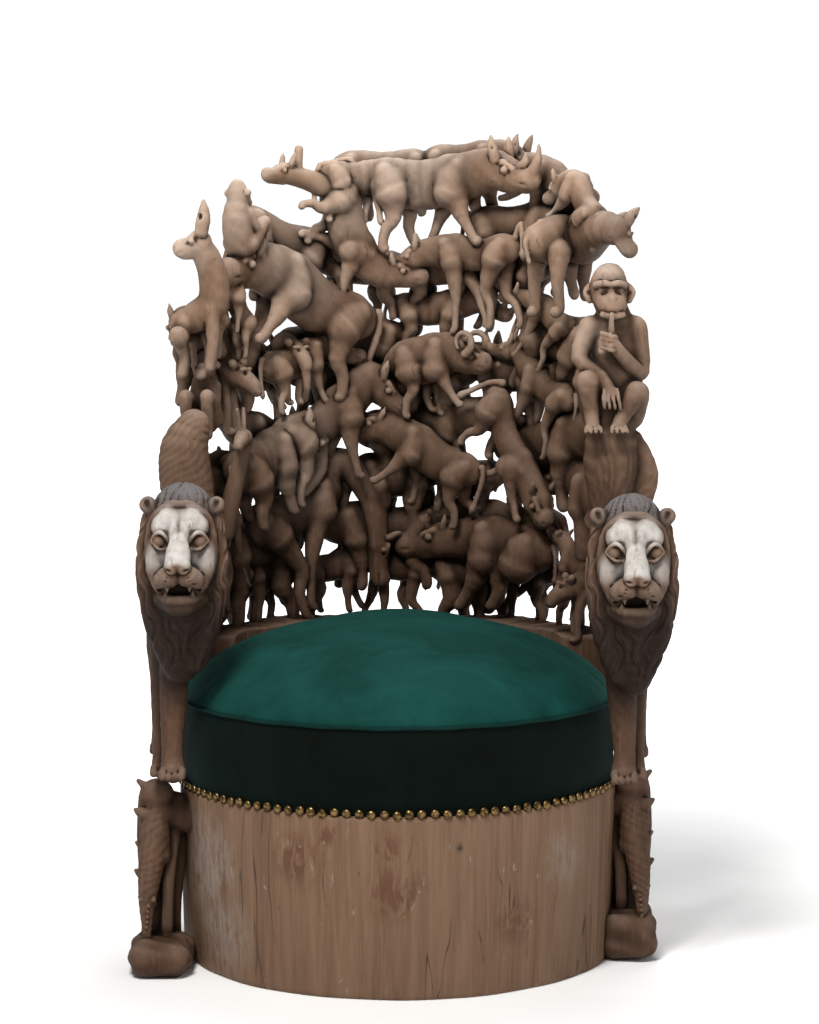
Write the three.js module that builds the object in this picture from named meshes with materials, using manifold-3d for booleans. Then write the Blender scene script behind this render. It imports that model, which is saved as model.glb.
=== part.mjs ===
// Carved throne: one log carved into a drum seat with a pierced back of interlocked animals.
// Millimetres, +Z up, the front faces -Y, and the origin is under the middle of the drum.
import * as THREE from "three";
import { mergeVertices } from "three/addons/utils/BufferGeometryUtils.js";
import Module from "manifold-3d";

const wasm = await Module();
wasm.setup();

// ---- Driving dimensions ----
const DRUM = { footRadius: 370, rimRadius: 380, height: 296, segments: 36 };
const WALL = { inner: 292, outer: 384, top: 538, halfAngle: 80 };
const SHELL = { unrollRadius: 330, inner: 314, middle: 346, outer: 376 };
const CUSHION = { frontRadius: 379, rearRadius: 287, bandTop: 445, crown: 594, segments: 36 };
const NAILS = { headRadius: 7.4, headHeight: 4, pitch: 19.5, stripHeight: 5, halfAngle: 92 };
const LION_SCALE = 1.1;
const LION_FOOT = 330;
const GAP = 0.4;
const CARVING_FACETS = 8600;
const NAIL_FACETS = 1000;

const BODY_SIDES = 6;
const LEG_SIDES = 4;
const TAIL_SIDES = 3;
const MOST_SLANT = 0.9;

const radians = THREE.MathUtils.degToRad;
const vec = (x, y, z) => new THREE.Vector3(x, y, z);

// ---- Solids from three.js geometry ----
function solid(geometry) {
  const bare = geometry.index ? geometry.toNonIndexed() : geometry.clone();
  bare.deleteAttribute("normal");
  bare.deleteAttribute("uv");
  const merged = mergeVertices(bare, 1e-3);
  const mesh = new wasm.Mesh({
    numProp: 3,
    vertProperties: new Float32Array(merged.attributes.position.array),
    triVerts: new Uint32Array(merged.index.array),
  });
  return new wasm.Manifold(mesh);
}

const join = (solids) => solids.reduce((whole, one) => whole.add(one));

// ---- Fewer facets ----
// Where limbs cross, a joined solid is cut into many slivers. Edges whose loss moves the surface
// least are drawn together, measured by the squared distance to the planes round both ends.
const planeTerms = ([nx, ny, nz, d], weight) => [
  nx * nx, nx * ny, nx * nz, nx * d, ny * ny, ny * nz, ny * d, nz * nz, nz * d, d * d,
].map((term) => term * weight);

function planeError(q, { x, y, z }) {
  return x * x * q[0] + 2 * x * y * q[1] + 2 * x * z * q[2] + 2 * x * q[3] + y * y * q[4] +
    2 * y * z * q[5] + 2 * y * q[6] + z * z * q[7] + 2 * z * q[8] + q[9];
}

class Facets {
  constructor(manifold) {
    const mesh = manifold.getMesh();
    this.points = [];
    for (let i = 0; i < mesh.numVert; i++) {
      this.points.push(vec().fromArray(mesh.vertProperties, i * mesh.numProp));
    }
    this.faces = [];
    this.round = this.points.map(() => new Set());
    this.terms = this.points.map(() => new Array(10).fill(0));
    for (let i = 0; i < mesh.triVerts.length; i += 3) this.addFace([...mesh.triVerts.subarray(i, i + 3)]);
    this.count = this.faces.length;
  }

  addFace(face) {
    const number = this.faces.push(face) - 1;
    const normal = this.normal(face);
    const area = normal.length();
    normal.normalize();
    const plane = [normal.x, normal.y, normal.z, -normal.dot(this.points[face[0]])];
    const terms = planeTerms(plane, area);
    for (const corner of face) {
      this.round[corner].add(number);
      terms.forEach((term, k) => (this.terms[corner][k] += term));
    }
  }

  normal(face, moved = new Map()) {
    const [a, b, c] = face.map((corner) => moved.get(corner) ?? this.points[corner]);
    return b.clone().sub(a).cross(c.clone().sub(a));
  }

  edges() {
    const found = [];
    for (const face of this.faces) {
      if (!face) continue;
      for (let k = 0; k < 3; k++) {
        const [a, b] = [face[k], face[(k + 1) % 3]];
        if (a < b) found.push(this.priced(a, b));
      }
    }
    return found.sort((one, other) => one.cost - other.cost);
  }

  priced(a, b) {
    const q = this.terms[a].map((term, k) => term + this.terms[b][k]);
    const middle = this.points[a].clone().lerp(this.points[b], 0.5);
    let best = null;
    for (const spot of [middle, this.points[a], this.points[b]]) {
      const cost = planeError(q, spot);
      if (!best || cost < best.cost) best = { a, b, q, spot: spot.clone(), cost };
    }
    return best;
  }

  neighbours(corner) {
    const found = new Set();
    for (const number of this.round[corner]) for (const other of this.faces[number]) found.add(other);
    found.delete(corner);
    return found;
  }

  // An edge may go when only its own two faces fold away and no other face turns over.
  mayGo({ a, b, spot }) {
    const shared = [...this.round[a]].filter((number) => this.round[b].has(number));
    const common = [...this.neighbours(a)].filter((corner) => this.neighbours(b).has(corner));
    if (shared.length !== 2 || common.length !== 2) return false;
    const moved = new Map([[a, spot], [b, spot]]);
    for (const number of new Set([...this.round[a], ...this.round[b]])) {
      if (shared.includes(number)) continue;
      const before = this.normal(this.faces[number]);
      const after = this.normal(this.faces[number], moved);
      const agree = before.dot(after) / (before.length() * after.length() || 1);
      if (!(agree > 0.3) || after.length() < 1e-2) return false;
    }
    return true;
  }

  collapse({ a, b, q, spot }) {
    for (const number of [...this.round[b]]) {
      const face = this.faces[number];
      for (const corner of face) this.round[corner].delete(number);
      if (face.includes(a)) {
        this.faces[number] = null;
        this.count--;
        continue;
      }
      this.faces[number] = face.map((corner) => (corner === b ? a : corner));
      for (const corner of this.faces[number]) this.round[corner].add(number);
    }
    this.points[a].copy(spot);
    this.terms[a] = q;
  }

  reduceTo(target) {
    while (this.count > target) {
      const start = this.count;
      const floor = Math.max(target, Math.round(start * 0.9));
      const changed = new Set();
      for (const edge of this.edges()) {
        if (this.count <= floor) break;
        if (changed.has(edge.a) || changed.has(edge.b) || !this.mayGo(edge)) continue;
        for (const corner of this.neighbours(edge.b)) changed.add(corner);
        for (const corner of this.neighbours(edge.a)) changed.add(corner);
        this.collapse(edge);
      }
      if (this.count === start) break;
    }
    return this;
  }

  geometry() {
    const geometry = new THREE.BufferGeometry().setFromPoints(this.points);
    geometry.setIndex(this.faces.filter(Boolean).flat());
    return geometry;
  }
}

const largest = (whole) =>
  whole.decompose().reduce((best, one) => (one.volume() > best.volume() ? one : best));

function geometryOf(manifold) {
  const mesh = manifold.getMesh();
  const geometry = new THREE.BufferGeometry();
  geometry.setAttribute("position", new THREE.BufferAttribute(mesh.vertProperties, mesh.numProp));
  geometry.setIndex(new THREE.BufferAttribute(mesh.triVerts, 1));
  return geometry;
}

function carved(solids, facets) {
  const reduced = new Facets(largest(join(solids))).reduceTo(facets);
  return geometryOf(largest(solid(reduced.geometry())));
}

// A limb: rings of the given radii along a chain of points, each { at: Vector3, radius }.
// wide stretches the rings along wished, and the end is cut flat, blunt or drawn to a point.
function limb(chain, sides = BODY_SIDES, wide = 1, wished = vec(1, 0, 0), end = "blunt") {
  const last = chain.length - 1;
  const whole = chain[last].at.clone().sub(chain[0].at).normalize();
  const side = Math.abs(whole.dot(wished)) > MOST_SLANT ? vec(0, 0, 1) : wished;
  const along = chain.map((node, i) => {
    const before = chain[Math.max(i - 1, 0)].at;
    const after = chain[Math.min(i + 1, last)].at;
    return after.clone().sub(before).normalize();
  });
  const corners = [];
  chain.forEach(({ at, radius }, i) => {
    const u = side.clone().addScaledVector(along[i], -side.dot(along[i])).normalize();
    const v = along[i].clone().cross(u);
    for (let k = 0; k < sides; k++) {
      const turn = (2 * Math.PI * (k + 0.5)) / sides;
      const corner = at.clone().addScaledVector(u, radius * wide * Math.cos(turn));
      corners.push(corner.addScaledVector(v, radius * Math.sin(turn)));
    }
  });
  const faces = [];
  for (let i = 0; i < last; i++) {
    for (let k = 0; k < sides; k++) {
      const a = i * sides + k;
      const b = i * sides + ((k + 1) % sides);
      faces.push(a, b, b + sides, a, b + sides, a + sides);
    }
  }
  for (let k = 1; k < sides - 1; k++) faces.push(0, k + 1, k);
  const rim = last * sides;
  if (end === "flat") {
    for (let k = 1; k < sides - 1; k++) faces.push(rim, rim + k, rim + k + 1);
  } else {
    const reach = chain[last].radius * (end === "pointed" ? 2.4 : 0.45);
    const tip = corners.push(chain[last].at.clone().addScaledVector(along[last], reach)) - 1;
    for (let k = 0; k < sides; k++) faces.push(tip, rim + k, rim + ((k + 1) % sides));
  }
  const geometry = new THREE.BufferGeometry().setFromPoints(corners);
  geometry.setIndex(faces);
  return solid(geometry);
}

// ---- Places ----
// The back is worked on an unrolled shell: s runs along its arc to the right as seen from the
// front, z is the height and w stands out from the layer towards the sitter.
function onShell(s, z, w, radius) {
  const angle = s / SHELL.unrollRadius;
  const r = radius - w;
  return vec(r * Math.sin(angle), r * Math.cos(angle), z);
}
const arc = (degrees) => radians(degrees) * SHELL.unrollRadius;
const outward = (point) => vec(point.x, point.y, 0).normalize();

// A place turns local x (forward), y (up) and w (towards the viewer) into a point of the throne.
function shellPlace({ hip, shoulder, layer }) {
  const radius = SHELL[layer];
  const start = new THREE.Vector2(arc(hip[0]), hip[1]);
  const end = new THREE.Vector2(arc(shoulder[0]), shoulder[1]);
  const forward = end.clone().sub(start);
  const length = forward.length();
  forward.normalize();
  const turn = forward.x >= 0 ? 1 : -1;
  const up = new THREE.Vector2(-forward.y * turn, forward.x * turn);
  const middle = start.clone().add(end).multiplyScalar(0.5);
  const face = layer === "inner" ? 1 : -1;
  const point = (x, y, w) => {
    const flat = middle.clone().addScaledVector(forward, x * length).addScaledVector(up, y * length);
    return onShell(flat.x, flat.y, w * length * face, radius);
  };
  return { point, length };
}

const node = (place, x, y, w, radius) => ({ at: place.point(x, y, w), radius: radius * place.length });

// ---- Four-legged beasts ----
// Shares of the distance from hip to shoulder: body radii, neck, head, legs and what grows on them.
const KINDS = {
  rhino: {
    hip: 0.36, belly: 0.41, chest: 0.39, neck: 0.34, nape: 0.30, head: 0.5, skull: 0.26,
    muzzle: 0.17, leg: 0.84, thigh: 0.19, knee: 0.11, foot: 0.13, ear: 0.2, horns: "nose",
  },
  hippo: {
    hip: 0.66, belly: 0.74, chest: 0.70, neck: 0.46, nape: 0.48, head: 0.78, skull: 0.42,
    muzzle: 0.33, leg: 1.4, thigh: 0.34, knee: 0.2, foot: 0.2, ear: 0.2, horns: "brow",
  },
  buffalo: {
    hip: 0.78, belly: 0.94, chest: 0.88, neck: 0.2, nape: 0.66, head: 0.6, skull: 0.54,
    muzzle: 0.38, leg: 1.7, thigh: 0.38, knee: 0.2, foot: 0.22, ear: 0.26, horns: "curled",
  },
  bull: {
    hip: 0.36, belly: 0.40, chest: 0.41, neck: 0.36, nape: 0.30, head: 0.46, skull: 0.25,
    muzzle: 0.18, leg: 0.9, thigh: 0.18, knee: 0.11, foot: 0.12, ear: 0.14, horns: "none",
  },
  horse: {
    hip: 0.41, belly: 0.42, chest: 0.42, neck: 0.62, nape: 0.21, head: 0.46, skull: 0.22,
    muzzle: 0.15, leg: 1.15, thigh: 0.18, knee: 0.1, foot: 0.11, ear: 0.14, horns: "none",
  },
  antelope: {
    hip: 0.38, belly: 0.36, chest: 0.39, neck: 0.56, nape: 0.21, head: 0.46, skull: 0.22,
    muzzle: 0.14, leg: 1.3, thigh: 0.16, knee: 0.09, foot: 0.1, ear: 0.18, horns: "straight",
  },
  dog: {
    hip: 0.33, belly: 0.32, chest: 0.36, neck: 0.34, nape: 0.25, head: 0.46, skull: 0.23,
    muzzle: 0.15, leg: 0.9, thigh: 0.17, knee: 0.1, foot: 0.11, ear: 0.16, horns: "none",
  },
  cat: {
    hip: 0.26, belly: 0.24, chest: 0.28, neck: 0.26, nape: 0.23, head: 0.3, skull: 0.24,
    muzzle: 0.17, leg: 0.72, thigh: 0.16, knee: 0.09, foot: 0.11, ear: 0.12, horns: "none",
  },
  elephant: {
    hip: 0.52, belly: 0.57, chest: 0.55, neck: 0.3, nape: 0.41, head: 0.3, skull: 0.39,
    muzzle: 0.23, leg: 1.05, thigh: 0.24, knee: 0.18, foot: 0.18, ear: 0.3, horns: "trunk",
  },
};

// The herd. hip and shoulder are [degrees round the back, height], legs are the swings in degrees
// of the near and far foreleg and the near and far hind leg, forward counted positive.
const HERD = [
  // top rows, inner layer
  { kind: "rhino", layer: "inner", hip: [-4, 1342], shoulder: [20, 1344], neck: 4, head: -14,
    legs: [28, -26, -10, 22] },
  { kind: "rhino", layer: "inner", hip: [-22, 1350], shoulder: [-6, 1352], neck: 0, head: -10,
    legs: [0, -20, -20, 10], headless: true },
  { kind: "dog", layer: "inner", hip: [37, 1214], shoulder: [18, 1212], neck: -10, head: -20,
    legs: [-2, -24, 6, -14], tail: 60, reach: 1.35 },
  { kind: "bull", layer: "inner", hip: [-17, 1092], shoulder: [-41, 1164], neck: -20, head: -34,
    legs: [20, 2, -22, 8] },
  { kind: "bull", layer: "inner", hip: [-19, 1316], shoulder: [-14, 1212], neck: 30, head: 66,
    legs: [56, -34, -8, 36], tail: 20 },
  { kind: "buffalo", layer: "inner", hip: [3, 1014], shoulder: [13, 1022], neck: -4, head: -24,
    legs: [26, -6, -12, 16] },
  { kind: "bull", layer: "outer", hip: [40, 1226], shoulder: [58, 1232], neck: 24, head: -34,
    legs: [0, 12, -6, 10], headless: true },
  { kind: "dog", layer: "middle", hip: [78, 1272], shoulder: [66, 1326], neck: -36, head: -66,
    legs: [-4, 18, 18, 34] },
  // middle rows, inner layer
  { kind: "dog", layer: "inner", hip: [-39, 878], shoulder: [-18, 934], neck: 14, head: -66,
    legs: [-14, -36, -26, 2], tail: -30 },
  { kind: "bull", layer: "inner", hip: [22, 812], shoulder: [5, 862], neck: -8, head: -22,
    legs: [26, -24, -26, -46] },
  { kind: "cat", layer: "inner", hip: [35, 936], shoulder: [45, 822], neck: 0, head: 6,
    legs: [72, -12, 14, 45] },
  { kind: "antelope", layer: "middle", hip: [60, 1074], shoulder: [49, 1112], neck: -16, head: -32,
    legs: [-10, 4, -14, 6] },
  { kind: "antelope", layer: "middle", hip: [60, 950], shoulder: [46, 984], neck: 20, head: -20,
    legs: [-8, 8, -18, -4] },
  { kind: "elephant", layer: "inner", hip: [-62, 822], shoulder: [-46, 850], neck: -4, head: -30,
    legs: [0, -14, -4, 12] },
  { kind: "bull", layer: "inner", hip: [-46, 1006], shoulder: [-31, 1026], neck: -6, head: -30,
    legs: [6, -20, -14, 10] },
  // bottom row, inner layer
  { kind: "horse", layer: "middle", hip: [-46, 712], shoulder: [-26, 762], neck: 46, head: -110,
    legs: [22, -30, -26, 0], arched: true, reach: 1.3 },
  { kind: "hippo", layer: "middle", hip: [45, 668], shoulder: [30, 678], neck: -8, head: -14,
    legs: [4, 20, -8, 26] },
  { kind: "antelope", layer: "middle", hip: [-71, 700], shoulder: [-62, 744], neck: 66, head: -24,
    legs: [-6, -22, -16, -30], reach: 1.5 },
  { kind: "dog", layer: "middle", hip: [76, 640], shoulder: [64, 660], neck: 30, head: 6,
    legs: [-6, 12, -10, 10], reach: 1.4 },
  { kind: "dog", layer: "middle", hip: [-70, 1102], shoulder: [-84, 1094], neck: 20, head: 10,
    legs: [-4, 10, 0, 14], headless: true },
  { kind: "dog", layer: "inner", hip: [-60, 1086], shoulder: [-68, 1140], neck: -30, head: -60,
    legs: [-40, -20, -34, -50], headless: true },
  // outer layer, seen through the gaps and from behind
  { kind: "elephant", layer: "outer", hip: [12, 1374], shoulder: [25, 1378], neck: 2, head: -40,
    legs: [4, -8, 0, 8] },
  { kind: "rhino", layer: "outer", hip: [4, 1370], shoulder: [-13, 1364], neck: 0, head: -16,
    legs: [10, -10, 4, -12], headless: true },
  { kind: "bull", layer: "outer", hip: [26, 1262], shoulder: [44, 1266], neck: 6, head: -20,
    legs: [12, -4, -4, 10] },
  { kind: "bull", layer: "outer", hip: [60, 1302], shoulder: [46, 1346], neck: -10, head: -50,
    legs: [8, -8, 8, -14] },
  { kind: "bull", layer: "outer", hip: [-26, 1216], shoulder: [-46, 1250], neck: 0, head: -30,
    legs: [14, -10, 6, -12] },
  { kind: "rhino", layer: "outer", hip: [2, 1110], shoulder: [16, 1114], neck: 0, head: -30,
    legs: [10, -12, 4, -8] },
  { kind: "bull", layer: "outer", hip: [-4, 1052], shoulder: [-22, 1036], neck: 10, head: -30,
    legs: [20, -10, 10, -20] },
  { kind: "bull", layer: "outer", hip: [-50, 1040], shoulder: [-70, 1056], neck: 10, head: -24,
    legs: [10, -8, 10, -10] },
  { kind: "bull", layer: "outer", hip: [44, 1076], shoulder: [64, 1046], neck: 10, head: -24,
    legs: [12, -10, 8, -12] },
  { kind: "rhino", layer: "outer", hip: [-6, 880], shoulder: [14, 896], neck: 0, head: -20,
    legs: [10, -10, 8, -10] },
  { kind: "horse", layer: "outer", hip: [-28, 850], shoulder: [-46, 880], neck: 10, head: -30,
    legs: [10, -14, 6, -20] },
  { kind: "bull", layer: "outer", hip: [36, 856], shoulder: [58, 880], neck: 0, head: -40,
    legs: [10, -10, 6, -10] },
  { kind: "bull", layer: "outer", hip: [6, 700], shoulder: [-14, 704], neck: 4, head: -24,
    legs: [8, -8, 8, -14] },
  { kind: "rhino", layer: "outer", hip: [46, 706], shoulder: [26, 712], neck: 0, head: -20,
    legs: [6, -10, 8, -8] },
  { kind: "bull", layer: "outer", hip: [-36, 680], shoulder: [-58, 690], neck: 8, head: -24,
    legs: [8, -8, 8, -14], reach: 1.2 },
  { kind: "bull", layer: "outer", hip: [88, 760], shoulder: [68, 780], neck: 8, head: -24,
    legs: [8, -8, 8, -14], reach: 1.6 },
  { kind: "bull", layer: "outer", hip: [-88, 760], shoulder: [-68, 790], neck: 8, head: -24,
    legs: [8, -8, 8, -14], reach: 1.6 },
];

// Rows of plainer beasts that close the outer layer between the named ones: the height of a row,
// the degrees of its first beast, the step to the next and each one's span from hip to shoulder.
const REAR_KINDS = ["bull", "rhino", "horse", "elephant"];
const REAR_ROWS = [
  { z: 1186, first: -10, step: 22, count: 3, span: 15 },
  { z: 990, first: -44, step: 26, count: 5, span: 15 },
  { z: 800, first: -22, step: 21, count: 3, span: 14 },
  { z: 626, first: -60, step: 20, count: 7, span: 12 },
];

function rearRow({ z, first, step, count, span }, row) {
  return Array.from({ length: count }, (_, i) => {
    const facing = (i + row) % 2 ? 1 : -1;
    const middle = first + i * step;
    return {
      kind: REAR_KINDS[(i + row) % REAR_KINDS.length], layer: "outer",
      hip: [middle - (facing * span) / 2, z], shoulder: [middle + (facing * span) / 2, z + 8],
      neck: 6, head: -24, legs: [10, -8, 6, -12],
    };
  });
}

const polar = (x, y, angle, length) => [
  x + length * Math.cos(radians(angle)),
  y + length * Math.sin(radians(angle)),
];

function spine(place, kind, beast) {
  const chain = [
    node(place, -0.5 - 0.7 * kind.hip, -0.02, 0, kind.hip * 0.6),
    node(place, -0.5, 0, 0, kind.hip),
    node(place, 0, -0.05, 0, kind.belly),
    node(place, 0.5, 0, 0, kind.chest),
  ];
  if (beast.headless) {
    chain.push(node(place, 0.5 + 0.6 * kind.chest, 0, 0, kind.chest * 0.6));
    return { chain, skull: null };
  }
  const [neckX, neckY] = polar(0.5, 0.08, beast.neck, kind.neck + 0.4 * kind.chest);
  if (beast.arched) {
    chain.push(node(place, 0.78, 0.26, 0, kind.nape * 1.15));
    chain.push(node(place, 1.06, 0.28, 0, kind.nape));
    chain.push(node(place, 1.22, -0.34, 0, kind.nape * 0.9));
    chain.push(node(place, 1.05, -1, 0, kind.skull * 0.85));
    const [endX, endY] = polar(1.05, -1, beast.head, kind.head * 1.3);
    chain.push(node(place, endX, endY, 0, kind.muzzle));
    return { chain, skull: [1.05, -1] };
  }
  chain.push(node(place, neckX, neckY, 0, kind.nape));
  const [skullX, skullY] = polar(neckX, neckY, beast.head, kind.nape * 0.9);
  chain.push(node(place, skullX, skullY, 0, kind.skull));
  const [endX, endY] = polar(skullX, skullY, beast.head, kind.head);
  chain.push(node(place, endX, endY, 0, kind.muzzle));
  return { chain, skull: [skullX, skullY] };
}

function leg(place, kind, beast, x, swing, w) {
  const hind = x < 0;
  const length = kind.leg * (beast.reach ?? 1);
  const side = outward(place.point(x, 0, 0));
  const [kneeX, kneeY] = polar(x, -0.06, swing - 90 + (hind ? 10 : -4), length * 0.52);
  const [footX, footY] = polar(kneeX, kneeY, swing - 90 + (hind ? -12 : 5), length * 0.48);
  const chain = [
    node(place, x, -0.06, w * 0.8, kind.thigh * 1.15),
    node(place, kneeX, kneeY, w, kind.knee * 0.9),
    node(place, footX, footY, w, kind.foot * 0.85),
  ];
  if (beast.layer === "outer") chain.splice(1, 1);
  return limb(chain, LEG_SIDES, 1, side, "flat");
}

// Ears, horns and trunk. skull is the middle of the head in the beast's own coordinates.
function growths(place, kind, beast, skull) {
  const made = [];
  const side = outward(place.point(0, 0, 0));
  const spike = (x, y, w, angle, length, radius) => {
    const [tipX, tipY] = polar(x, y, angle, Math.max(length - 2.4 * radius * 0.6, 0.03));
    const chain = [node(place, x, y, w, radius), node(place, tipX, tipY, w * 1.15, radius * 0.6)];
    made.push(limb(chain, TAIL_SIDES, 1, side, "pointed"));
  };
  const [x, y] = skull;
  const size = kind.skull;
  for (const w of beast.layer === "outer" ? [] : [0.6, -0.6]) {
    const [rootX, rootY] = polar(x, y, beast.head + 112, kind.skull * 0.7);
    spike(rootX, rootY, w * kind.skull, beast.head + 116, kind.ear, kind.ear * 0.36);
  }
  if (kind.horns === "nose" || kind.horns === "brow") {
    const stations = kind.horns === "nose" ? [0.95, 0.5] : [0.2];
    for (const share of stations) {
      const [rootX, rootY] = polar(x, y, beast.head, kind.head * share);
      spike(rootX, rootY, 0, beast.head + 74, 0.44, 0.09);
    }
  }
  if (kind.horns === "straight") {
    const [rootX, rootY] = polar(x, y, beast.head + 90, kind.skull * 0.6);
    spike(rootX, rootY, 0.04, beast.head + 98, 0.5, 0.06);
  }
  if (kind.horns === "curled") {
    for (const w of [0.75, -0.75]) {
      const ring = [];
      for (let step = 0; step <= 5; step++) {
        const [ringX, ringY] = polar(x - 0.1 * size, y + 0.9 * size, -60 + step * 58, 0.6 * size);
        ring.push(node(place, ringX, ringY, w * size, (0.28 - step * 0.025) * size));
      }
      made.push(limb(ring, TAIL_SIDES, 1, side));
    }
  }
  if (kind.horns === "trunk") {
    const [rootX, rootY] = polar(x, y, beast.head, kind.head);
    made.push(limb([
      node(place, rootX, rootY, 0, kind.muzzle),
      node(place, rootX + 0.12, rootY - 0.35, 0, 0.14),
      node(place, rootX + 0.02, rootY - 0.72, 0, 0.11),
    ], 4, 1, side));
  }
  return made;
}

function tail(place, kind, beast) {
  const [midX, midY] = polar(-0.5 - 0.8 * kind.hip, 0.1, 180 - beast.tail, 0.3);
  const [endX, endY] = polar(midX, midY, 264, 0.3);
  return limb([
    node(place, -0.5 - 0.5 * kind.hip, 0.1, 0, 0.07),
    node(place, midX, midY, 0, 0.065),
    node(place, endX, endY, 0, 0.05),
  ], TAIL_SIDES, 1, outward(place.point(0, 0, 0)));
}

function beastSolids(beast) {
  const kind = KINDS[beast.kind];
  const place = shellPlace(beast);
  const { chain, skull } = spine(place, kind, beast);
  const parts = [limb(chain, BODY_SIDES, 0.86, outward(place.point(0, 0, 0)))];
  const [nearFore, farFore, nearHind, farHind] = beast.legs;
  const spread = 0.55 * kind.hip;
  parts.push(leg(place, kind, beast, 0.46, nearFore, spread));
  parts.push(leg(place, kind, beast, 0.46, farFore, -spread));
  parts.push(leg(place, kind, beast, -0.46, nearHind, spread));
  parts.push(leg(place, kind, beast, -0.46, farHind, -spread));
  if (beast.tail !== undefined) parts.push(tail(place, kind, beast));
  if (skull) parts.push(...growths(place, kind, beast, skull));
  return parts;
}

// ---- The plain trunk ----
function drum() {
  const { footRadius, rimRadius, height, segments } = DRUM;
  const profile = [
    new THREE.Vector2(0, 0),
    new THREE.Vector2(footRadius, 0),
    new THREE.Vector2(footRadius + 7, height * 0.4),
    new THREE.Vector2(rimRadius, height * 0.8),
    new THREE.Vector2(rimRadius, height),
    new THREE.Vector2(0, height),
  ];
  const geometry = new THREE.LatheGeometry(profile, segments);
  geometry.rotateX(Math.PI / 2);
  return solid(geometry);
}

function wall() {
  const { inner, outer, top, halfAngle } = WALL;
  const low = DRUM.height - 20;
  const from = radians(90 - halfAngle);
  const to = radians(90 + halfAngle);
  const outline = new THREE.Shape();
  outline.absarc(0, 0, outer, from, to, false);
  outline.absarc(0, 0, inner, to, from, true);
  outline.closePath();
  const options = { depth: top - low, bevelEnabled: false, curveSegments: 22 };
  const geometry = new THREE.ExtrudeGeometry(outline, options);
  geometry.translate(0, 0, low);
  return solid(geometry);
}

// ---- Cushion and nails ----
// Plan radius of the cushion at an angle from straight ahead: full at the front half, and
// narrower behind, where it lies inside the wall.
function cushionRadius(turn) {
  const { frontRadius, rearRadius } = CUSHION;
  const rearward = THREE.MathUtils.smoothstep(-Math.cos(turn), -0.12, 0.1);
  return THREE.MathUtils.lerp(frontRadius, rearRadius, rearward);
}

function cushion() {
  const { bandTop, crown, segments } = CUSHION;
  const rise = crown - bandTop;
  const rings = [[1, DRUM.height + GAP], [1, bandTop], [0.93, bandTop + rise * 0.32],
    [0.76, bandTop + rise * 0.67], [0.45, bandTop + rise * 0.93]];
  const corners = [];
  const faces = [];
  for (const [share, z] of rings) {
    for (let k = 0; k < segments; k++) {
      const turn = (2 * Math.PI * k) / segments;
      const r = cushionRadius(turn) * share;
      corners.push(vec(r * Math.sin(turn), -r * Math.cos(turn), z));
    }
  }
  const under = corners.push(vec(0, 0, DRUM.height + GAP)) - 1;
  const summit = corners.push(vec(0, 0, crown)) - 1;
  const topRing = (rings.length - 1) * segments;
  for (let k = 0; k < segments; k++) {
    const next = (k + 1) % segments;
    for (let i = 0; i < topRing; i += segments) {
      faces.push(i + k, i + next, i + next + segments, i + k, i + next + segments, i + k + segments);
    }
    faces.push(under, next, k, summit, topRing + k, topRing + next);
  }
  const geometry = new THREE.BufferGeometry().setFromPoints(corners);
  geometry.setIndex(faces);
  return geometry;
}

// ---- Figures given by their own chains ----
// Points of a figure that stands free of the layers: x to the right, d towards the sitter, z up.
const at = (x, d, z, radius) => ({ at: vec(x, -d, z), radius });

// A point near the shell: degrees round the back, height, and distance in from the inner layer.
function onLayer(degrees, z, w, radius) {
  return { at: onShell(arc(degrees), z, w, SHELL.inner), radius };
}

function mirrored(side, chain) {
  return chain.map(({ at: point, radius }) => ({ at: vec(side * point.x, point.y, point.z), radius }));
}

// The lion that ends an arm: mane and face to the front, a body reaching back along the wall,
// and straight legs down to the beast below.
function lion(side, { x, d, z }) {
  const made = [];
  const head = vec(x, -d, z);
  const grown = ({ at: point, radius }) => ({
    at: point.clone().sub(head).multiplyScalar(LION_SCALE).add(head),
    radius: radius * LION_SCALE,
  });
  const add = (chain, sides, wide) =>
    made.push(limb(mirrored(side, chain.map(grown)), sides, wide, vec(1, 0, 0)));
  add([
    at(x + 2, d - 12, z + 98, 34), at(x, d - 8, z + 62, 55), at(x, d - 4, z, 62),
    at(x, d - 6, z - 70, 60), at(x + 2, d - 18, z - 130, 46), at(x + 8, d - 30, z - 180, 30),
  ], 9, 1);
  add([
    at(x, d, z + 18, 50), at(x, d + 44, z + 14, 44), at(x, d + 70, z - 12, 29),
    at(x, d + 92, z - 26, 24),
  ], 8, 1);
  add([at(x, d + 20, z - 52, 36), at(x, d + 58, z - 66, 24), at(x, d + 78, z - 68, 15)], 6, 1.1);
  for (const ear of [-1, 1]) {
    add([at(x + ear * 46, d - 4, z + 62, 16), at(x + ear * 60, d + 2, z + 74, 10)], 5, 1);
    add([at(x + ear * 19, d + 60, z + 12, 12), at(x + ear * 20, d + 74, z + 8, 8)], 5, 1);
  }
  add([
    at(x + 4, d - 20, z - 30, 62), at(x + 12, d - 110, z - 30, 64), at(x + 12, d - 210, z - 34, 58),
    at(x - 6, d - 300, z - 40, 50),
  ], 8, 0.8);
  const stance = [[d - 44, 396], [d - 76, 412], [d - 250, 410], [d - 290, 420]];
  for (const [reach, footX] of stance) {
    const chain = [
      at(x + 14, reach, z - 60, 38), at(footX, reach - 12, z - 250, 24),
      at(footX + 2, reach - 6, LION_FOOT + 30, 20), at(footX, reach + 14, LION_FOOT, 19),
    ];
    made.push(limb(mirrored(side, chain), 6));
  }
  return made;
}

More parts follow.
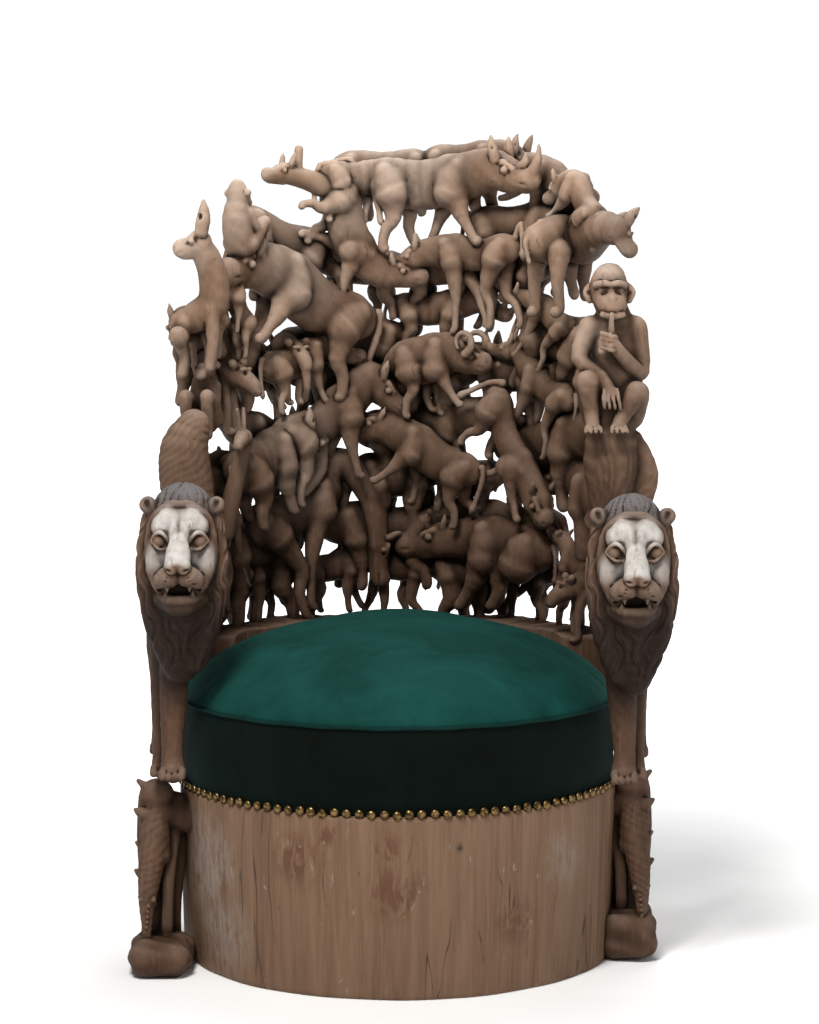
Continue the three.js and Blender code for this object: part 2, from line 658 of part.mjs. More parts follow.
// The scaly beast beside the drum: a wedge that narrows to the snout on its block, with a row of
// spikes up its back and a thin leg between it and the drum.
function sideBeast(side, { x, d }) {
  const made = [];
  const add = (chain, sides, wide) => made.push(limb(mirrored(side, chain), sides, wide, vec(1, 0, 0)));
  add([
    at(x - 34, d - 90, 240, 34), at(x + 12, d - 44, 280, 24), at(x + 4, d - 6, 266, 30),
    at(x + 5, d + 22, 210, 27), at(x + 11, d + 36, 160, 22), at(x + 15, d + 46, 108, 14),
    at(x + 14, d + 52, 64, 8),
  ], 7, 0.9);
  for (const [height, out] of [[262, 24], [206, 22], [158, 24], [112, 18]]) {
    add([at(x + 14, d + 16, height, 12), at(x + out + 12, d + 20, height + 10, 3)], 4, 1);
  }
  add([at(x - 24, d - 10, 220, 14), at(x - 18, d + 8, 150, 9), at(x - 16, d + 14, 60, 9)], 4, 1);
  add([at(x - 30, d - 80, 230, 26), at(x - 8, d - 92, 140, 15), at(x - 8, d - 80, 60, 15)], 5, 1);
  add([at(x + 2, d - 4, 292, 14), at(x + 32, d, 318, 4)], 4, 1);
  add([at(x - 60, d - 20, 250, 26), at(x - 6, d - 4, 262, 26)], 5, 1);
  return made;
}

function block(side, { x, d }) {
  const pad = new THREE.CylinderGeometry(50, 54, 72, 9);
  pad.rotateX(Math.PI / 2);
  pad.scale(1, 1.7, 1);
  pad.translate(side * x, -d, 36);
  return solid(pad);
}

// The seated chimpanzee with a finger at its mouth, on the right wing, on another beast's rump.
function chimpanzee() {
  const made = [];
  const add = (chain, sides = 6, wide = 1) => made.push(limb(chain, sides, wide, vec(1, 0, 0)));
  add([at(364, -4, 1186, 20), at(362, 4, 1164, 38), at(361, 12, 1132, 41), at(364, 16, 1106, 30)], 8);
  add([at(362, 20, 1128, 28), at(365, 50, 1120, 25), at(366, 60, 1114, 17)], 6, 1.2);
  for (const x of [320, 402]) add([at(x, -2, 1146, 9), at(x + 1, 6, 1128, 9)], 4);
  add([at(366, -6, 1104, 30), at(370, -12, 1062, 48), at(372, -8, 990, 52), at(370, -4, 922, 50)], 8);
  add([at(330, -6, 1078, 21), at(314, 14, 1026, 17), at(350, 46, 994, 14), at(366, 54, 958, 12)], 5);
  add([at(408, -6, 1076, 21), at(416, 16, 1000, 17), at(384, 50, 1030, 14), at(358, 56, 1064, 13)], 5);
  add([at(360, 54, 1066, 9), at(361, 66, 1100, 5)], 4);
  add([at(344, 0, 930, 28), at(326, 50, 986, 21), at(330, 42, 934, 15), at(332, 58, 914, 13)], 5);
  add([at(396, 0, 930, 28), at(406, 50, 966, 21), at(386, 44, 930, 15), at(376, 60, 914, 13)], 5);
  add([at(368, 0, 912, 38), at(370, -4, 852, 50), at(374, -12, 792, 46), at(376, -10, 740, 40)], 7);
  add([at(402, -10, 880, 24), at(424, -2, 826, 27), at(416, 8, 770, 20)], 5);
  return made;
}

// A seated monkey on the shell. turn is 1 when it looks to the right and -1 to the left.
function monkey({ degrees, z, w, size, turn }) {
  const spot = (x, y, out, radius) =>
    onLayer(degrees + (turn * x * size) / arc(1), z + y * size, w + out * size, radius * size);
  return [
    limb([spot(-0.24, 0.6, 0, 0.12), spot(-0.2, 0.46, 0, 0.19), spot(-0.1, 0.4, 0.03, 0.12)], 6),
    limb([spot(-0.22, 0.46, 0, 0.15), spot(-0.26, 0.12, 0, 0.24), spot(-0.14, -0.26, 0, 0.26)], 6),
    limb([spot(-0.2, 0.2, 0.16, 0.1), spot(0.02, -0.06, 0.22, 0.09), spot(0.3, 0.1, 0.16, 0.07)], 4),
    limb([spot(-0.12, -0.24, 0.14, 0.17), spot(0.32, 0.1, 0.16, 0.12), spot(0.2, -0.42, 0.16, 0.1)], 5),
    limb([spot(-0.12, -0.24, -0.14, 0.17), spot(0.34, 0.06, -0.14, 0.12),
      spot(0.24, -0.42, -0.14, 0.1)], 5),
  ];
}

// A beast that looks straight out of the shell at the sitter: head, ears and two forelegs.
function onlooker({ degrees, z, size, trunk }) {
  const spot = (x, y, out, radius) =>
    onLayer(degrees + (x * size) / arc(1), z + y * size, out * size, radius * size);
  const made = [
    limb([spot(0, 0.3, -0.5, 0.42), spot(0, 0.1, 0.1, 0.36), spot(0, -0.1, 0.5, 0.26),
      spot(0, -0.3, 0.66, 0.18)], 6),
    limb([spot(-0.2, 0, -0.3, 0.22), spot(-0.22, -0.7, -0.1, 0.13), spot(-0.2, -1.4, -0.1, 0.13)], 4),
    limb([spot(0.2, 0, -0.3, 0.22), spot(0.22, -0.7, -0.1, 0.13), spot(0.2, -1.4, -0.1, 0.13)], 4),
    limb([spot(-0.26, 0.3, 0.1, 0.12), spot(-0.46, 0.42, 0.1, 0.07)], 4),
    limb([spot(0.26, 0.3, 0.1, 0.12), spot(0.46, 0.42, 0.1, 0.07)], 4),
  ];
  const hanging = [spot(0, -0.3, 0.6, 0.16), spot(0.05, -0.9, 0.6, 0.11), spot(0.2, -1.3, 0.3, 0.09)];
  return trunk ? [...made, limb(hanging, 4)] : made;
}

// Heads, mounds and standing necks that fill the two wings and the top left corner.
function wingForms() {
  return [
    // long-snouted head with an upright stub of horn
    limb([onLayer(-20, 1320, 0, 24), onLayer(-36, 1344, 0, 17), onLayer(-46, 1360, 0, 15),
      onLayer(-57, 1350, 0, 10)], 6),
    limb([onLayer(-36, 1346, 0, 10), onLayer(-35, 1396, 0, 8)], 4),
    // hound over the left wing: body, neck, head turned back, and a leg
    limb([at(-372, -10, 1090, 20), at(-346, -10, 1098, 27), at(-318, -10, 1122, 21), at(-310, -4, 1166, 17),
      at(-320, 6, 1204, 22), at(-346, 14, 1216, 23), at(-376, 22, 1204, 14)], 6),
    limb([at(-366, -10, 1088, 15), at(-370, -10, 1040, 10), at(-366, -10, 1000, 10)], 4),
    // round-bellied beast seen from behind, over the chimpanzee
    limb([onLayer(60, 1236, -44, 40), onLayer(61, 1232, -6, 45), onLayer(61, 1228, 26, 34)], 8),
    limb([onLayer(55, 1212, 8, 22), onLayer(54, 1160, 14, 13), onLayer(55, 1104, 8, 11)], 4),
    limb([onLayer(68, 1212, 8, 22), onLayer(69, 1160, 14, 13), onLayer(67, 1104, 8, 11)], 4),
    // maned mound above the left lion
    limb([at(-350, 24, 912, 28), at(-366, 36, 870, 42), at(-362, 40, 810, 46),
      at(-352, 60, 750, 40)], 7),
    // antelope neck and head inside the left wing
    limb([onLayer(-73, 716, -10, 20), onLayer(-73, 850, 26, 13), onLayer(-73, 884, 30, 15),
      onLayer(-84, 872, 34, 10)], 5),
    limb([onLayer(-74, 890, 26, 5), onLayer(-78, 934, 26, 4)], 3),
    limb([onLayer(-71, 890, 26, 5), onLayer(-71, 934, 26, 4)], 3),
    // wild pig's head looking out over the right wing
    limb([onLayer(64, 1232, -50, 44), at(352, -60, 1250, 32), at(378, -30, 1246, 28),
      at(408, -14, 1198, 15)], 6),
    limb([at(366, -26, 1262, 10), at(362, -20, 1290, 4)], 4),
    limb([at(396, -30, 1258, 10), at(404, -30, 1276, 4)], 4),
  ];
}

const MONKEYS = [
  { degrees: -63, z: 1254, w: 6, size: 108, turn: 1 },
  { degrees: -81, z: 950, w: -36, size: 124, turn: -1 },
  { degrees: -30, z: 1196, w: -56, size: 100, turn: 1 },
  { degrees: 30, z: 1180, w: -60, size: 100, turn: -1 },
];
const ONLOOKERS = [
  { degrees: -68, z: 984, size: 66 },
  { degrees: -37, z: 1022, size: 60, trunk: true },
  { degrees: 78, z: 612, size: 60 },
];
const LIONS = [[-1, { x: 352, d: 246, z: 712 }], [1, { x: 382, d: 276, z: 696 }]];
const SIDE_BEASTS = [[-1, { x: 402, d: 150 }], [1, { x: 402, d: 64 }]];

function carvedThrone() {
  const parts = [drum(), wall()];
  for (const beast of [...HERD, ...REAR_ROWS.flatMap(rearRow)]) parts.push(...beastSolids(beast));
  for (const one of MONKEYS) parts.push(...monkey(one));
  for (const one of ONLOOKERS) parts.push(...onlooker(one));
  parts.push(...wingForms(), ...chimpanzee());
  for (const [side, place] of LIONS) parts.push(...lion(side, place));
  for (const [side, place] of SIDE_BEASTS) parts.push(...sideBeast(side, place), block(side, place));
  return carved(parts, CARVING_FACETS);
}

function nailTrim() {
  const { headRadius, headHeight, pitch, stripHeight, halfAngle } = NAILS;
  const radius = DRUM.rimRadius + GAP;
  const z = DRUM.height + 4;
  const count = 2 * Math.round((radians(halfAngle) * radius) / pitch);
  const strip = new THREE.Shape();
  const from = radians(270 - halfAngle - 1);
  const to = radians(270 + halfAngle + 1);
  strip.absarc(0, 0, radius + 1.2, from, to, false);
  strip.absarc(0, 0, radius, to, from, true);
  strip.closePath();
  const options = { depth: stripHeight, bevelEnabled: false, curveSegments: count / 2 };
  const band = new THREE.ExtrudeGeometry(strip, options);
  band.translate(0, 0, z - stripHeight / 2);
  const parts = [solid(band)];
  for (let i = 0; i <= count; i++) {
    const turn = radians(-halfAngle + (2 * halfAngle * i) / count);
    const dome = new THREE.ConeGeometry(headRadius, headHeight, 5);
    dome.translate(0, headHeight / 2, 0);
    dome.rotateX(Math.PI / 2);
    dome.rotateX(Math.PI / 2);
    dome.translate(0, -radius - 0.5, 0);
    dome.rotateZ(turn);
    dome.translate(0, 0, z);
    parts.push(solid(dome));
  }
  return carved(parts, NAIL_FACETS);
}

// ---- The scene graph ----
function mesh(name, geometry, color, roughness, metalness) {
  const made = new THREE.Mesh(geometry, new THREE.MeshStandardMaterial({ color, roughness, metalness }));
  made.name = name;
  return made;
}

const throne = new THREE.Group();
throne.add(mesh("carved_throne", carvedThrone(), 0x8a6a54, 0.7, 0));
throne.add(mesh("seat_cushion", cushion(), 0x0f4a42, 0.95, 0));
throne.add(mesh("nail_trim", nailTrim(), 0x8c6a2a, 0.35, 1));

export default throne;
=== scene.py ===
"""Looks of the carved throne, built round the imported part.

Metres, +Z up, the front faces -Y, the origin is under the middle of the drum. Each carved piece is
a field of signed distances, filled figure by figure, cut in finer relief and turned into a mesh.
"""
import math
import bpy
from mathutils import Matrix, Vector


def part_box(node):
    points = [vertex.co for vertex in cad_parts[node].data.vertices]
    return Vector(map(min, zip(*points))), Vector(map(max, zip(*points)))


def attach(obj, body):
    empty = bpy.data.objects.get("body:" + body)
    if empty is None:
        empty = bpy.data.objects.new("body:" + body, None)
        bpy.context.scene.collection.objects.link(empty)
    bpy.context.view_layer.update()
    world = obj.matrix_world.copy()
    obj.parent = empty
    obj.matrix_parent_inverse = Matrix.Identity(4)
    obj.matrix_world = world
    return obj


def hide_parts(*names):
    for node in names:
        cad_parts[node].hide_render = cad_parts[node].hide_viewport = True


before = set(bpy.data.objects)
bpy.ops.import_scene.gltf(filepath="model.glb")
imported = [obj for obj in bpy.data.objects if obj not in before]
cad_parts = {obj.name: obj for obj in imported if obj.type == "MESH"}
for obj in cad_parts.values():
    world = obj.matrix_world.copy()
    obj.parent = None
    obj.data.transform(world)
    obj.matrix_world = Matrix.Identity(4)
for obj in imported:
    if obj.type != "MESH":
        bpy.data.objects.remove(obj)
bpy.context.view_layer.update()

from copy import copy
from types import SimpleNamespace

import bmesh
import bpy
import numpy as np
import openvdb
from mathutils import Vector

# ---- Driving dimensions, in metres, the same as the part's ----
DRUM_FOOT, DRUM_RIM, DRUM_TOP = 0.370, 0.380, 0.296
WALL_INNER, WALL_OUTER, WALL_TOP, WALL_ANGLE = 0.292, 0.384, 0.538, 80
UNROLL = 0.330
LAYERS = {"inner": 0.314, "middle": 0.346, "outer": 0.376}
CUSHION_FRONT, CUSHION_REAR, CUSHION_SEAM, CUSHION_CROWN = 0.379, 0.287, 0.445, 0.594
LION_FOOT = 330
NAIL_LEVEL, DRUM_LIP = DRUM_TOP + 0.0105, DRUM_TOP + 0.005

CRACKS, NAILS, NAIL_ANGLE = 26, 61, 92
PAD_PITCH, PAD_SWELL, SEAM_HOLD = 0.009, 0.012, 0.014
CAMERA_PLACE, CAMERA_TILT, CAMERA_LENS = (0.0198, -4.5, 1.15), 4.95, 91.76
ROOM_LIGHT, ROOM_SEEN = 0.20, 1.05

# ---- Working values ----
MM = 0.001
FAR = 0.05  # the distance that stands for open air, in metres
COARSE = 1
CARVED_PITCH, FINE_PITCH, ROOM_PITCH = 3 * MM, 2 * MM, 6 * MM
CRUMB = 400  # a loose body with fewer vertices is left out


def vec(x, y, z):
    return np.array((x, y, z), float)


def unit(v):
    return v / max(np.linalg.norm(v), 1e-9)


# ---- The field of signed distances ----
class Field:
    """Signed distances on a grid, negative inside the wood."""

    def __init__(self, low, high, pitch):
        self.low, self.pitch = np.array(low, float), pitch
        self.shape = tuple(int(math.ceil((h - l) / pitch)) + 1 for l, h in zip(low, high))
        self.values = np.full(self.shape, FAR, np.float32)

    def window(self, low, high):
        """Slices of the grid between two corners, and the coordinates of its points."""
        first = np.maximum(np.floor((np.array(low) - self.low) / self.pitch).astype(int), 0)
        last = np.minimum(np.ceil((np.array(high) - self.low) / self.pitch).astype(int) + 1, self.shape)
        if (last <= first).any():
            return None, None
        cells = tuple(slice(a, b) for a, b in zip(first, last))
        axes = [(self.low[i] + self.pitch * np.arange(first[i], last[i])).astype(np.float32)
                for i in range(3)]
        return cells, (axes[0][:, None, None], axes[1][None, :, None], axes[2][None, None, :])

    def fill(self, figures, blend=1.5 * MM):
        for figure in figures:
            figure.into(self, blend)
        return self


def soft_min(a, b, k):
    h = np.clip(0.5 + 0.5 * (b - a) / k, 0, 1)
    return b + (a - b) * h - k * h * (1 - h)


def soft_max(a, b, k):
    return -soft_min(-a, -b, k)


def segment_distance(grid, a, b, ra, rb, side, wide):
    """Distance to a tapering rod from a to b, narrower along side by the share wide."""
    run = b - a
    length2 = max(float(run @ run), 1e-12)
    dx, dy, dz = grid[0] - a[0], grid[1] - a[1], grid[2] - a[2]
    t = np.clip((dx * run[0] + dy * run[1] + dz * run[2]) / length2, 0, 1)
    dx, dy, dz = dx - t * run[0], dy - t * run[1], dz - t * run[2]
    squared = dx * dx + dy * dy + dz * dz
    if wide != 1:
        along = dx * side[0] + dy * side[1] + dz * side[2]
        squared = squared + along * along * (1 / wide ** 2 - 1)
    return np.sqrt(squared) - (ra + t * (rb - ra))


def rounded(chain, steps):
    """The chain with points added along a smooth curve through its own."""
    points = np.array(chain, float)
    if len(points) < 3 or steps < 2:
        return points
    out = []
    for i in range(len(points) - 1):
        before, after = points[max(i - 1, 0)], points[min(i + 2, len(points) - 1)]
        a, b = points[i], points[i + 1]
        for step in range(steps):
            t = step / steps
            out.append(0.5 * (2 * a + (b - before) * t + (2 * before - 5 * a + 4 * b - after) * t ** 2
                              + (3 * a - before - 3 * b + after) * t ** 3))
    out.append(points[-1])
    return np.array(out)


class Figure:
    """One carved figure: rods joined softly, rods cut out of them, and combed surfaces.

    Each end of a rod is a row, which place turns into a point and a radius in metres. Blends are in
    millimetres, and wide narrows a rod along the figure's side.
    """

    def __init__(self, blend, place, side=(1, 0, 0)):
        self.blend, self.place, self.side = blend, place, unit(vec(*side))
        self.steps = []

    def seen_from(self, place, side):
        """The same figure, with its rows read in another way."""
        other = copy(self)
        other.place, other.side = place, unit(vec(*side))
        return other

    def add(self, *rows, wide=1, blend=None, how="add"):
        blend = self.blend if blend is None else blend
        chain = rounded([self.place(*row) for row in rows], 3)
        self.steps.append((how, chain, wide, self.side, blend * MM))

    def cut(self, *rows, blend=1.6):
        self.add(*rows, blend=blend, how="cut")

    def ball(self, *row, wide=1, blend=None):
        self.add(row, row, wide=wide, blend=blend)

    def pit(self, *row):
        self.cut(row, row)

    def comb(self, depth_at):
        """Lowers the surface by depth_at(x, y, z), in metres."""
        self.steps.append(("comb", depth_at))

    def into(self, field, blend):
        adds = [step[1] for step in self.steps if step[0] == "add"]
        points = np.concatenate(adds)
        reach = points[:, 3:4] + 0.014
        cells, grid = field.window((points[:, :3] - reach).min(0), (points[:, :3] + reach).max(0))
        if cells is None:
            return
        own = np.full(tuple(c.stop - c.start for c in cells), FAR, np.float32)
        for step in self.steps:
            if step[0] == "comb":
                own += step[1](*grid)
            else:
                self.carve(field, cells, grid, own, *step)
        field.values[cells] = soft_min(field.values[cells], own, blend)

    def carve(self, field, cells, grid, own, how, chain, wide, side, soft):
        """One chain of rods, joined to or cut from the figure's own block."""
        margin = 0.014 if how == "add" else 0.006
        rods = np.full(own.shape, FAR, np.float32)
        for one, two in zip(chain[:-1], chain[1:]):
            local = self.part_round(field, cells, np.array((one, two)), margin)
            if local:
                near = (grid[0][local[0]], grid[1][:, local[1]], grid[2][:, :, local[2]])
                gap = segment_distance(near, one[:3], two[:3], one[3], two[3], side, wide)
                rods[local] = np.minimum(rods[local], gap)
        whole = self.part_round(field, cells, chain, margin)
        if whole:
            old, new = own[whole], rods[whole]
            made = soft_min(old, new, soft) if how == "add" else soft_max(old, -new, soft)
            own[whole] = np.where(new < FAR, made, old)

    def part_round(self, field, cells, spots, margin):
        """The part of the figure's block that lies near some points of a chain."""
        span = spots[:, 3:4] + margin
        inner = field.window((spots[:, :3] - span).min(0), (spots[:, :3] + span).max(0))[0]
        if inner is None:
            return None
        local = tuple(slice(max(i.start - c.start, 0), max(min(i.stop, c.stop) - c.start, 0))
                      for i, c in zip(inner, cells))
        return local if all(part.stop > part.start for part in local) else None


def ripple(depth, strands, phase):
    """Depth of strands side by side: a narrow groove between two rounded ones."""
    return depth * (1 - np.abs(np.sin(strands + phase))) ** 1.5


def chisel_marks(x, y, z):
    """The slight unevenness that a chisel leaves, as a sum of waves."""
    return (0.30 * MM * np.sin(150 * x + 90 * z + 2 * np.sin(41 * y)) * np.sin(120 * y - 130 * z + 1)
            + 0.25 * MM * np.sin(260 * z + 210 * y + 2 * np.sin(53 * x)) * np.sin(300 * x - 160 * y + 2))


# ---- Places ----
# The back is worked on an unrolled shell: s runs along its arc to the right as seen from the
# front, z is the height and w stands out from the layer towards the sitter.
def arc(degrees):
    return math.radians(degrees) * UNROLL


def on_shell(s, z, w, radius):
    r = radius - w
    return vec(r * math.sin(s / UNROLL), r * math.cos(s / UNROLL), z)


def outward(point):
    return unit(vec(point[0], point[1], 0))


class Place:
    """Turns a beast's own x (forward), y (up) and w (towards the viewer) into a point."""

    def __init__(self, hip, shoulder, layer):
        start = np.array((arc(hip[0]), hip[1] * MM))
        end = np.array((arc(shoulder[0]), shoulder[1] * MM))
        self.length = float(np.linalg.norm(end - start))
        self.forward = (end - start) / self.length
        turn = 1 if self.forward[0] >= 0 else -1
        self.up = np.array((-self.forward[1], self.forward[0])) * turn
        self.middle = (start + end) / 2
        self.face = 1 if layer == "inner" else -1
        self.radius = LAYERS[layer]
        self.side = outward(self.point(0, 0, 0))

    def point(self, x, y, w):
        flat = self.middle + (self.forward * x + self.up * y) * self.length
        return on_shell(flat[0], flat[1], w * self.length * self.face, self.radius)

    def node(self, x, y, w, radius):
        return (*self.point(x, y, w), radius * self.length)


def polar(x, y, degrees, length):
    turn = math.radians(degrees)
    return x + length * math.cos(turn), y + length * math.sin(turn)


def at(x, d, z, radius):
    """A point given in millimetres: x to the right, d towards the sitter, z up."""
    return (x * MM, -d * MM, z * MM, radius * MM)


def on_layer(degrees, z, w, radius):
    """A point near the inner layer, in millimetres: w stands out towards the sitter."""
    return (*on_shell(arc(degrees), z * MM, w * MM, LAYERS["inner"]), radius * MM)


# ---- Four-legged beasts ----
# Shares of the distance from hip to shoulder: body radii, neck, head and legs.
SHARES = ("hip", "belly", "chest", "neck", "nape", "head", "skull", "muzzle", "leg", "thigh",
          "knee", "foot", "ear", "horns")
KINDS = {
    "rhino": (.36, .41, .39, .34, .30, .50, .26, .17, .84, .19, .11, .13, .20, "nose"),
    "hippo": (.66, .74, .70, .46, .48, .78, .42, .33, 1.4, .34, .20, .20, .20, "brow"),
    "buffalo": (.78, .94, .88, .20, .66, .60, .54, .38, 1.7, .38, .20, .22, .26, "curled"),
    "bull": (.36, .40, .41, .36, .30, .46, .25, .18, .90, .18, .11, .12, .14, "none"),
    "horse": (.41, .42, .42, .62, .21, .46, .22, .15, 1.15, .18, .10, .11, .14, "none"),
    "antelope": (.38, .36, .39, .56, .21, .46, .22, .14, 1.3, .16, .09, .10, .18, "straight"),
    "dog": (.33, .32, .36, .34, .25, .46, .23, .15, .90, .17, .10, .11, .16, "none"),
    "cat": (.26, .24, .28, .26, .23, .30, .24, .17, .72, .16, .09, .11, .12, "none"),
    "elephant": (.52, .57, .55, .30, .41, .30, .39, .23, 1.05, .24, .18, .18, .30, "trunk"),
}


class FreePlace(Place):
    """The same for a beast off the shell, from its hip, shoulder and viewed side in millimetres."""

    def __init__(self, hip, shoulder, side):
        run = np.array(shoulder, float) - np.array(hip, float)
        self.length = float(np.linalg.norm(run)) * MM
        self.forward, self.side = unit(run), unit(np.array(side, float))
        self.up = unit(np.cross(self.side, self.forward))
        self.up = self.up * (1 if self.up[2] > 0 else -1)
        self.middle = (np.array(hip, float) + np.array(shoulder, float)) / 2 * MM

    def point(self, x, y, w):
        return self.middle + (self.forward * x + self.up * y + self.side * w) * self.length


def kind_of(name, **changes):
    return SimpleNamespace(**{**dict(zip(SHARES, KINDS[name])), **changes})


def beast(kind, layer, hip, shoulder, neck, head, legs, tail=-64, reach=1.0, arched=False,
          headless=False):
    """A beast of the back: hip and shoulder in degrees and millimetres, then its angles in degrees."""
    return SimpleNamespace(**locals())


HERD = [
    # top rows, inner layer
    beast("rhino", "inner", (-4, 1342), (20, 1344), 4, -14, (28, -26, -10, 22)),
    beast("rhino", "inner", (-22, 1350), (-6, 1352), 0, -10, (0, -20, -20, 10), headless=True),
    beast("dog", "inner", (37, 1214), (18, 1212), -10, -20, (-2, -24, 6, -14), tail=60, reach=1.35),
    beast("bull", "inner", (-17, 1092), (-41, 1164), -20, -34, (20, 2, -22, 8)),
    beast("bull", "inner", (-19, 1316), (-14, 1212), 30, 66, (56, -34, -8, 36), tail=20),
    beast("buffalo", "inner", (3, 1014), (13, 1022), -4, -24, (26, -6, -12, 16)),
    beast("bull", "outer", (40, 1226), (58, 1232), 24, -34, (0, 12, -6, 10), headless=True),
    beast("dog", "middle", (78, 1272), (66, 1326), -36, -66, (-4, 18, 18, 34)),
    # middle rows, inner layer
    beast("dog", "inner", (-39, 878), (-18, 934), 14, -66, (-14, -36, -26, 2), tail=-30),
    beast("bull", "inner", (22, 812), (5, 862), -8, -22, (26, -24, -26, -46)),
    beast("cat", "inner", (35, 936), (45, 822), 0, 6, (72, -12, 14, 45)),
    beast("antelope", "middle", (60, 1074), (49, 1112), -16, -32, (-10, 4, -14, 6)),
    beast("antelope", "middle", (60, 950), (46, 984), 20, -20, (-8, 8, -18, -4)),
    beast("elephant", "inner", (-62, 822), (-46, 850), -4, -30, (0, -14, -4, 12)),
    beast("bull", "inner", (-46, 1006), (-31, 1026), -6, -30, (6, -20, -14, 10)),
    # bottom row, inner layer
    beast("horse", "middle", (-46, 712), (-26, 762), 46, -110, (22, -30, -26, 0), arched=True, reach=1.3),
    beast("hippo", "middle", (45, 668), (30, 678), -8, -14, (4, 20, -8, 26)),
    beast("antelope", "middle", (-71, 700), (-62, 744), 66, -24, (-6, -22, -16, -30), reach=1.5),
    beast("dog", "middle", (76, 640), (64, 660), 30, 6, (-6, 12, -10, 10), reach=1.4),
    beast("dog", "middle", (-70, 1102), (-84, 1094), 20, 10, (-4, 10, 0, 14), headless=True),
    beast("dog", "inner", (-60, 1086), (-68, 1140), -30, -60, (-40, -20, -34, -50), headless=True),
    # outer layer, seen through the gaps and from behind
    beast("elephant", "outer", (12, 1374), (25, 1378), 2, -40, (4, -8, 0, 8)),
    beast("rhino", "outer", (4, 1370), (-13, 1364), 0, -16, (10, -10, 4, -12), headless=True),
    beast("bull", "outer", (26, 1262), (44, 1266), 6, -20, (12, -4, -4, 10)),
    beast("bull", "outer", (60, 1302), (46, 1346), -10, -50, (8, -8, 8, -14)),
    beast("bull", "outer", (-26, 1216), (-46, 1250), 0, -30, (14, -10, 6, -12), headless=True),
    beast("rhino", "outer", (2, 1110), (16, 1114), 0, -30, (10, -12, 4, -8)),
    beast("bull", "outer", (-4, 1052), (-22, 1036), 10, -30, (20, -10, 10, -20)),
    beast("bull", "outer", (-50, 1040), (-70, 1056), 10, -24, (10, -8, 10, -10)),
    beast("bull", "outer", (44, 1076), (64, 1046), 10, -24, (12, -10, 8, -12)),
    beast("rhino", "outer", (-6, 880), (14, 896), 0, -20, (10, -10, 8, -10)),
    beast("horse", "outer", (-28, 850), (-46, 880), 10, -30, (10, -14, 6, -20)),
    beast("bull", "outer", (36, 856), (58, 880), 0, -40, (10, -10, 6, -10)),
    beast("bull", "outer", (6, 700), (-14, 704), 4, -24, (8, -8, 8, -14)),
    beast("rhino", "outer", (46, 706), (26, 712), 0, -20, (6, -10, 8, -8)),
    beast("bull", "outer", (-36, 680), (-58, 690), 8, -24, (8, -8, 8, -14), reach=1.2),
    beast("bull", "outer", (88, 760), (68, 780), 8, -24, (8, -8, 8, -14), reach=1.6),
    beast("bull", "outer", (-88, 760), (-68, 790), 8, -24, (8, -8, 8, -14), reach=1.6),
]


# Plainer rows that close the outer layer: height, first beast's degrees, step, count and span.
REAR_KINDS = ("bull", "rhino", "horse", "elephant")
REAR_ROWS = [(1186, -10, 22, 3, 15), (990, -44, 26, 5, 15), (800, -22, 21, 3, 14), (626, -60, 20, 7, 12)]


def rear_beasts():
    for row, (z, first, step, count, span) in enumerate(REAR_ROWS):
        for i in range(count):
            facing = 1 if (i + row) % 2 else -1
            middle = first + i * step
            yield beast(REAR_KINDS[(i + row) % 4], "outer", (middle - facing * span / 2, z),
                        (middle + facing * span / 2, z + 8), 6, -24, (10, -8, 6, -12),
                        reach=1.4 if z < 700 else 1.15)


def trunk_of(figure, kind, one):
    """Rump, barrel, chest and neck, with muscled shoulders and haunches. Gives the skull's middle."""
    slim = 0.95 if one.layer == "outer" else 0.84
    hip, belly, chest = slim * kind.hip, slim * kind.belly, slim * kind.chest
    barrel = [(-0.52 - 0.42 * hip, 0.02, 0, hip * 0.66), (-0.5, 0.02, 0, hip * 0.96),
              (-0.05, -0.07, 0, belly * 0.97), (0.5, 0.01, 0, chest * 0.97)]
    for w in (1, -1):
        figure.add((-0.56, 0.3 * hip, w * hip * 0.52, hip * 0.46),
                   (-0.44, -0.45 * hip, w * hip * 0.6, kind.thigh * 1.3))
        figure.add((0.58, 0.42 * chest, w * chest * 0.5, chest * 0.4),
                   (0.44, -0.5 * chest, w * chest * 0.6, kind.thigh * 1.15))
    if one.headless:
        figure.add(*barrel, (0.5 + 0.6 * chest, 0, 0, chest * 0.6), wide=0.84)
        return None
    if one.arched:
        skull, width = (1.05, -1), kind.skull * 0.85
        neck = [(0.78, 0.26, 0, kind.nape * 1.2), (1.06, 0.28, 0, kind.nape * 1.05),
                (1.22, -0.34, 0, kind.nape * 0.9)]
    else:
        x, y = polar(0.5, 0.08, one.neck, kind.neck + 0.4 * chest)
        skull, width = polar(x, y, one.head, kind.nape * 0.9), kind.skull * 0.9
        neck = [(x, y, 0, kind.nape * 0.94)]
    figure.add(*barrel, *neck, (*skull, 0, width), wide=0.84)
    figure.ball(0.4, 0.4 * chest, 0, chest * 0.62, wide=0.84)
    return skull


def leg(figure, kind, one, x, swing, w):
    """One leg from the body to its hoof: muscled root, joint, thin shank and fetlock."""
    length, hind = kind.leg * one.reach, x < 0
    knee = polar(x, -0.06, swing - 90 + (16 if hind else -6), length * 0.50)
    hock = polar(*knee, swing - 90 + (-26 if hind else 3), length * 0.25)
    heel = polar(*hock, swing - 90 + (-4 if hind else 6), length * 0.24)
    toe = polar(*heel, swing - 90 + 34, length * 0.06)
    thin = kind.knee * {"outer": 1.5, "middle": 1.2, "inner": 1.05}[one.layer]
    figure.add((x, -0.04, w * 0.72, kind.thigh * 1.25), (*knee, w, thin * 0.95),
               (*hock, w, thin * (0.66 if hind else 0.58)), (*heel, w, thin * 0.56),
               (*toe, w, kind.foot * 0.54))


